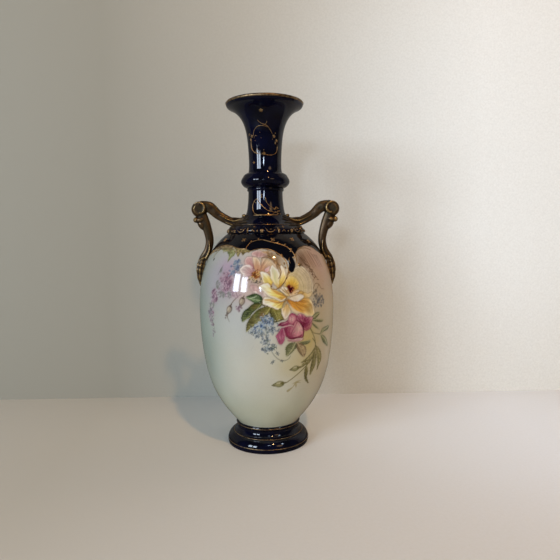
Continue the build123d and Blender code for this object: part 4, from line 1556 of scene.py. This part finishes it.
def ball(shells, centre, radii, tilt=0.0):
    """An egg-shaped ball with these half sizes along x, y and z, turned about Y."""
    turn = full_turn(24)
    rings = []
    for a in np.linspace(-pi / 2 + 0.05, pi / 2 - 0.05, 15):
        x, z = turned(radii[0] * cos(a) * np.cos(turn), radii[2] * sin(a) + 0 * turn, tilt)
        rings.append(
            np.stack((centre[0] + x, centre[1] + radii[1] * cos(a) * np.sin(turn), centre[2] + z), -1)
        )
    shells.add(rings)


def cord(shells, path, widths):
    """A round cord through points in space."""
    path = through(path, 6)
    along = np.gradient(path, axis=0)
    along /= np.linalg.norm(along, axis=1)[:, None]
    aside = np.cross(along, (0.0, 1.0, 0.0))
    aside /= np.linalg.norm(aside, axis=1)[:, None]
    over = np.cross(along, aside)
    turn = full_turn(12)
    width = spread(widths, len(path))[:, None, None]
    rings = path[:, None] + width * (
        aside[:, None] * np.cos(turn)[None, :, None] + over[:, None] * np.sin(turn)[None, :, None]
    )
    shells.add(rings)


def volute(shells):
    """The scroll at the top: a domed drum, and the arm's edge curling in over each face of it."""
    round_button(shells, (VOLUTE[0] + 0.3, VOLUTE[1]), 7.9, 9.6, 4.4)
    share = np.linspace(0, 1, 14)
    turn, radius, proud = 0.9 + 3.8 * share, 7.0 - 3.4 * share, 3.2 + 1.7 * share**0.6
    for side in (-1, 1):
        curl = (VOLUTE[0] + radius * np.cos(turn), side * proud, VOLUTE[1] + radius * np.sin(turn))
        cord(shells, np.transpose(curl), [0.7, 1.3, 1.4, 1.3, 0.8])


def handle_shells():
    """All the closed forms of the right handle; they are fused by the remesh."""
    shells = Shells()
    limb(shells, ARM, [6.4, 4.3, 4.6, 5.6, 4.4], [8, 5.2, 4.5, 4.5, 4.2], arm_section)
    limb(shells, LEG, [5.2, 4.7, 4.0, 3.9, 4.3], [4.4, 4.5, 4.3, 4.1, 4.1], leg_section)
    limb(shells, TERMINAL, [3.8, 4.7, 4.5, 3.3, 0.6], [3.8, 4.9, 5.2, 4.1, 0.8], leaf_section)
    volute(shells)
    for x, z, radii, tilt in (
        (69.5, 226.0, (3.1, 4.3, 2.9), -20),  # the bud under the volute, and the leg's flare up to it
        (65.0, 226.0, (5.8, 4.8, 3.6), -10),
        (63.6, 221.0, (6.2, 4.4, 4.0), 52),
        (63.6, 187.4, (5.3, 5.2, 2.1), -36),  # two beads between leg and leaf
        (65.0, 184.4, (4.5, 4.8, 1.4), -36),
        (21.2, 229.3, (2.9, 3.4, 1.9), 28),  # the leaf tip that stands up where the arm leaves the neck
        (29, 226.6, (7.5, 3.0, 1.6), 6),
    ):
        ball(shells, (x, 0, z), radii, tilt)
    for side in (-1, 1):
        for run, widths in (
            ([(24, 5.6, 226), (33, 4.9, 224.6), (45, 4.3, 229.8)], [1.3, 0.8, 0.3]),
            ([(22, 8.0, 221), (31, 5.2, 220.3), (40, 4.2, 223.4)], [1.4, 0.9, 0.3]),
            ([(57, 3.9, 205), (56.6, 4.1, 196), (60.6, 3.9, 187.5)], [0.4, 0.9, 1.0]),
        ):
            cord(shells, np.multiply(run, (1, side, 1)), widths)
    return shells


def fused(mesh):
    """The forms fused into one skin, lightly smoothed."""
    lump = bpy.data.objects.new("lump", mesh)
    bpy.context.scene.collection.objects.link(lump)
    remesh = lump.modifiers.new("skin", "REMESH")
    remesh.mode, remesh.voxel_size = "VOXEL", VOXEL * MM
    relax = lump.modifiers.new("relax", "SMOOTH")
    relax.factor, relax.iterations = 0.4, 2
    skin = bpy.data.meshes.new_from_object(lump.evaluated_get(bpy.context.evaluated_depsgraph_get()))
    bpy.data.objects.remove(lump)
    bpy.data.meshes.remove(mesh)
    return skin


def mesh_points(mesh):
    points = np.empty(len(mesh.vertices) * 3)
    mesh.vertices.foreach_get("co", points)
    return points.reshape(-1, 3) / MM


def seat_on_vase(points, sunk=0.3):
    """Points deeper than this in the vase are brought up to just under its surface."""
    radius = np.hypot(points[:, 0], points[:, 1])
    floor = radius_at(points[:, 2]) - sunk
    push = np.where(radius < floor, floor / np.maximum(radius, 0.01), 1.0)
    points[:, :2] *= push[:, None]
    return points


def ridges(mesh, points):
    """How proud each vertex stands of its neighbours: 0 in hollows, 1 on ridges."""
    edges = np.empty(len(mesh.edges) * 2, int)
    mesh.edges.foreach_get("vertices", edges)
    a, b = edges.reshape(-1, 2).T
    normals = np.empty(len(mesh.vertices) * 3)
    mesh.vertex_normals.foreach_get("vector", normals)
    normals = normals.reshape(-1, 3)
    count = np.bincount(a, minlength=len(points)) + np.bincount(b, minlength=len(points))

    def averaged(values):
        total = np.zeros_like(values)
        np.add.at(total, a, values[b])
        np.add.at(total, b, values[a])
        return total / count.reshape((-1,) + (1,) * (values.ndim - 1))

    broad = points
    for _ in range(12):
        broad = averaged(broad)
    proud = ((points - broad) * normals).sum(1)
    for _ in range(3):
        proud = averaged(proud)
    low, high = np.percentile(proud, (8, 92))
    return np.clip((proud - low) / (high - low), 0, 1)


def set_ridge(mesh, proud):
    """Stores how proud each vertex stands, for the gold to read."""
    mesh.attributes.new("ridge", "FLOAT", "POINT").data.foreach_set("value", proud.astype(np.float32))


def finish_handle(name, node, points, faces, proud, material):
    mesh = make_mesh(name, points, faces)
    set_ridge(mesh, proud)
    piece = make_piece(name, mesh, material)
    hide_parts(node)


def make_handles():
    """The right handle, and its mirror image on the left."""
    skin = fused(handle_shells().mesh("handle_forms"))
    points = seat_on_vase(mesh_points(skin))
    proud = ridges(skin, points)
    faces = [tuple(face.vertices) for face in skin.polygons]
    material = antique_gold()
    finish_handle("handle_right", "right_handle", points, faces, proud, material)
    finish_handle("handle_left", "left_handle", points * (-1, 1, 1), faces, proud, material)


def root_leaves():
    """The ribbed leaf that fans up from under each arm, front and back, round the foot of the neck."""
    material = antique_gold("root_gold", 0.55)
    tips = [
        (86, 229.8), (73, 230.2), (60, 230), (49, 228.4), (41, 225.6), (37, 222), (38, 218.4), (44, 215.2),
        (54, 212.6),
    ]
    behind_arm, root_height, full_height = 7, 218.5, 1.6
    for side, name in ((1, "root_leaves_right"), (-1, "root_leaves_left")):
        relief = Relief()
        for face in (1, -1):
            for i, (away, end) in enumerate(tips):
                turn = side * 90 - side * face * (90 - away)
                root = side * 90 - side * face * behind_arm
                bow = 1.5 * np.sin(pi * i / (len(tips) - 1))
                step = np.array((turn - root, end - root_height))
                middle = [np.add((root, root_height + bow), share * step) for share in (0.35, 0.72)]
                run = [(root, root_height), *middle, (turn, end)]
                relief.stroke(run, 4.4, 1.0, 0.3)
                relief.stroke(run[:3], 1.1, 1.5, 0.4)
        piece = relief.finish(name, material)
        points = mesh_points(piece.data)
        proud = np.hypot(points[:, 0], points[:, 1]) - radius_at(points[:, 2])
        set_ridge(piece.data, np.clip(proud / full_height, 0, 1))


make_handles()
root_leaves()


# ---- Finishes on the CAD pieces that stay as they are --------------------------------------
def give(node, material):
    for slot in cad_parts[node].material_slots:
        slot.material = material


COBALT_GLAZE = cobalt_glaze("cobalt_glaze")
for node_name in ("foot", "shoulder_collar", "lower_neck", "neck_knop"):
    give(node_name, COBALT_GLAZE)
give("mouth", cobalt_glaze("cobalt_mouth", CREAM))
gilt_ring("collar_roll", 216.2, 7.4, 0.85, COBALT_GLAZE, "cobalt_glaze")


# ---- Stage, light and camera ---------------------------------------------------------------
WALL = 0.146  # metres behind the vase's axis
DAYLIGHT, WINDOW = (212, 231, 255), (218, 233, 252)
LAMPLIGHT, WARM_LIGHT = (255, 200, 132), (255, 210, 156)


def stage_sheet(name, corners, colour, shade, hidden, one_sided=False):
    """A plain matt sheet, painted darker towards its left as painted shade, and darkened by hidden in
    mirror images; a one-sided one isn't seen from behind.
    """
    mesh = bpy.data.meshes.new(name)
    mesh.from_pydata(corners, [], [(0, 1, 2, 3)])
    sheet = bpy.data.objects.new(name, mesh)
    bpy.context.scene.collection.objects.link(sheet)
    nodes = Nodes(name)
    across = nodes.add("SeparateXYZ")
    nodes.link(nodes.place, across.inputs[0])
    # Painted shade: shade sets how dark the sheet is painted at its left, and the colour grows to full
    # towards its right.
    painted_shade_tone = (shade * colour[0], 0.99 * shade * colour[1], 0.94 * shade * colour[2])
    shaded = nodes.mix(nodes.fit(across.outputs["X"], -0.2, 0.28), painted_shade_tone, colour)
    worn = nodes.mix(nodes.fit(nodes.noise(2.4, 3.0), 0.3, 0.7, 0.0, 0.16), shaded, painted_shade_tone)
    mirrored = nodes.add("LightPath").outputs["Is Glossy Ray"]
    tone = nodes.mix(nodes.fit(mirrored, 0, 1, 0.0, hidden), worn, (64, 62, 60))
    material = nodes.surface(
        Base_Color=tone, Roughness=0.75, Normal=nodes.bump(nodes.noise(4, 3.0), 0.15, 0.4),
    )
    if one_sided:
        clear, choice = nodes.add("BsdfTransparent"), nodes.add("MixShader")
        nodes.link(nodes.add("NewGeometry").outputs["Backfacing"], choice.inputs[0])
        nodes.link(nodes.shader.outputs[0], choice.inputs[1])
        nodes.link(clear.outputs[0], choice.inputs[2])
        nodes.link(choice.outputs[0], nodes.tree.nodes["Material Output"].inputs["Surface"])
    mesh.materials.append(material)


def build_stage():
    far = 3.0
    floor = [(-far, -far, 0), (far, -far, 0), (far, far, 0), (-far, far, 0)]
    back = [(-far, WALL, 0), (far, WALL, 0), (far, WALL, far), (-far, WALL, far)]
    stage_sheet("floor", floor, (250, 251, 252), 0.87, 0.90)
    stage_sheet("backdrop", back, (252, 252, 244), 0.68, 0.6, one_sided=True)


def add_light(kind, name, place, target, power, colour):
    """A light of this kind at a place, facing its target."""
    data = bpy.data.lights.new(name, kind)
    data.energy, data.color = power, linear(colour)
    lamp = bpy.data.objects.new(name, data)
    lamp.location = place
    lamp.rotation_euler = (Vector(target) - Vector(place)).to_track_quat("-Z", "Y").to_euler()
    bpy.context.scene.collection.objects.link(lamp)
    return data


def build_light():
    """A window of two panes at the left, two warm lamps at the right, and daylight past the vase."""
    middle, window_distance, pane_shift = Vector((0, 0, 0.17)), 1.8, 0.216
    toward = Vector((-0.685, -0.675, 0.268)).normalized()
    aside = toward.cross(Vector((0, 0, 1))).normalized()
    for name, shift in (("pane_left", -pane_shift), ("pane_right", pane_shift)):
        place = middle + toward * window_distance + aside * shift
        pane = add_light("AREA", name, place, middle, 9.0, WINDOW)
        pane.shape, pane.size, pane.size_y = "RECTANGLE", 0.32, 0.54
    for name, place, size, power, colour in (
        ("warm_right", (0.80, -1.20, 0.85), 0.5, 1.2, WARM_LIGHT),
        ("warm_top", (0.41, -1.18, 1.74), 0.09, 9.0, LAMPLIGHT),
    ):
        lamp = add_light("AREA", name, place, middle, power, colour)
        lamp.shape, lamp.size = "DISK", size
    for name, place, target, power, cone in (
        ("wall_light", (-0.2, -1.4, 0.5), (0.35, WALL, 0.37), 41, 27),
        ("floor_light", (0.75, -0.6, 0.9), (0.25, 0.02, 0), 16, 24),
        ("front_light", (0.05, -1.0, 0.9), (0.04, -0.3, 0), 6, 25),
    ):
        spot = add_light("SPOT", name, place, target, power, DAYLIGHT)
        spot.spot_size, spot.spot_blend, spot.shadow_soft_size = radians(cone), 1.0, 0.1
    build_world()


def build_world():
    """An even, weak grey light that glossy surfaces mirror more darkly."""
    world = bpy.data.worlds.new("studio")
    world.use_nodes = True
    tree = world.node_tree
    background = tree.nodes["Background"]
    background.inputs["Color"].default_value = (*linear((232, 230, 226)), 1)
    dim = tree.nodes.new("ShaderNodeMapRange")
    tree.links.new(tree.nodes.new("ShaderNodeLightPath").outputs["Is Glossy Ray"], dim.inputs["Value"])
    seen, mirrored = 0.155, 0.045
    dim.inputs["To Min"].default_value, dim.inputs["To Max"].default_value = seen, mirrored
    tree.links.new(dim.outputs["Result"], background.inputs["Strength"])
    bpy.context.scene.world = world


def build_camera():
    """A camera half a metre in front of the vase, tipped down a little."""
    aside, down, roll = -1.50, 4.8, -0.54  # degrees
    data = bpy.data.cameras.new("camera")
    data.lens, data.sensor_width = 33.24, 36
    camera = bpy.data.objects.new("camera", data)
    camera.location = (0, -0.52255, 0.20868)
    turn = Matrix.Rotation(radians(aside), 4, "Z") @ Matrix.Rotation(radians(90 - down), 4, "X")
    camera.rotation_euler = (turn @ Matrix.Rotation(radians(roll), 4, "Z")).to_euler()
    bpy.context.scene.collection.objects.link(camera)
    bpy.context.scene.camera = camera
    bpy.context.scene.view_settings.view_transform = "Standard"


build_stage()
build_light()
build_camera()
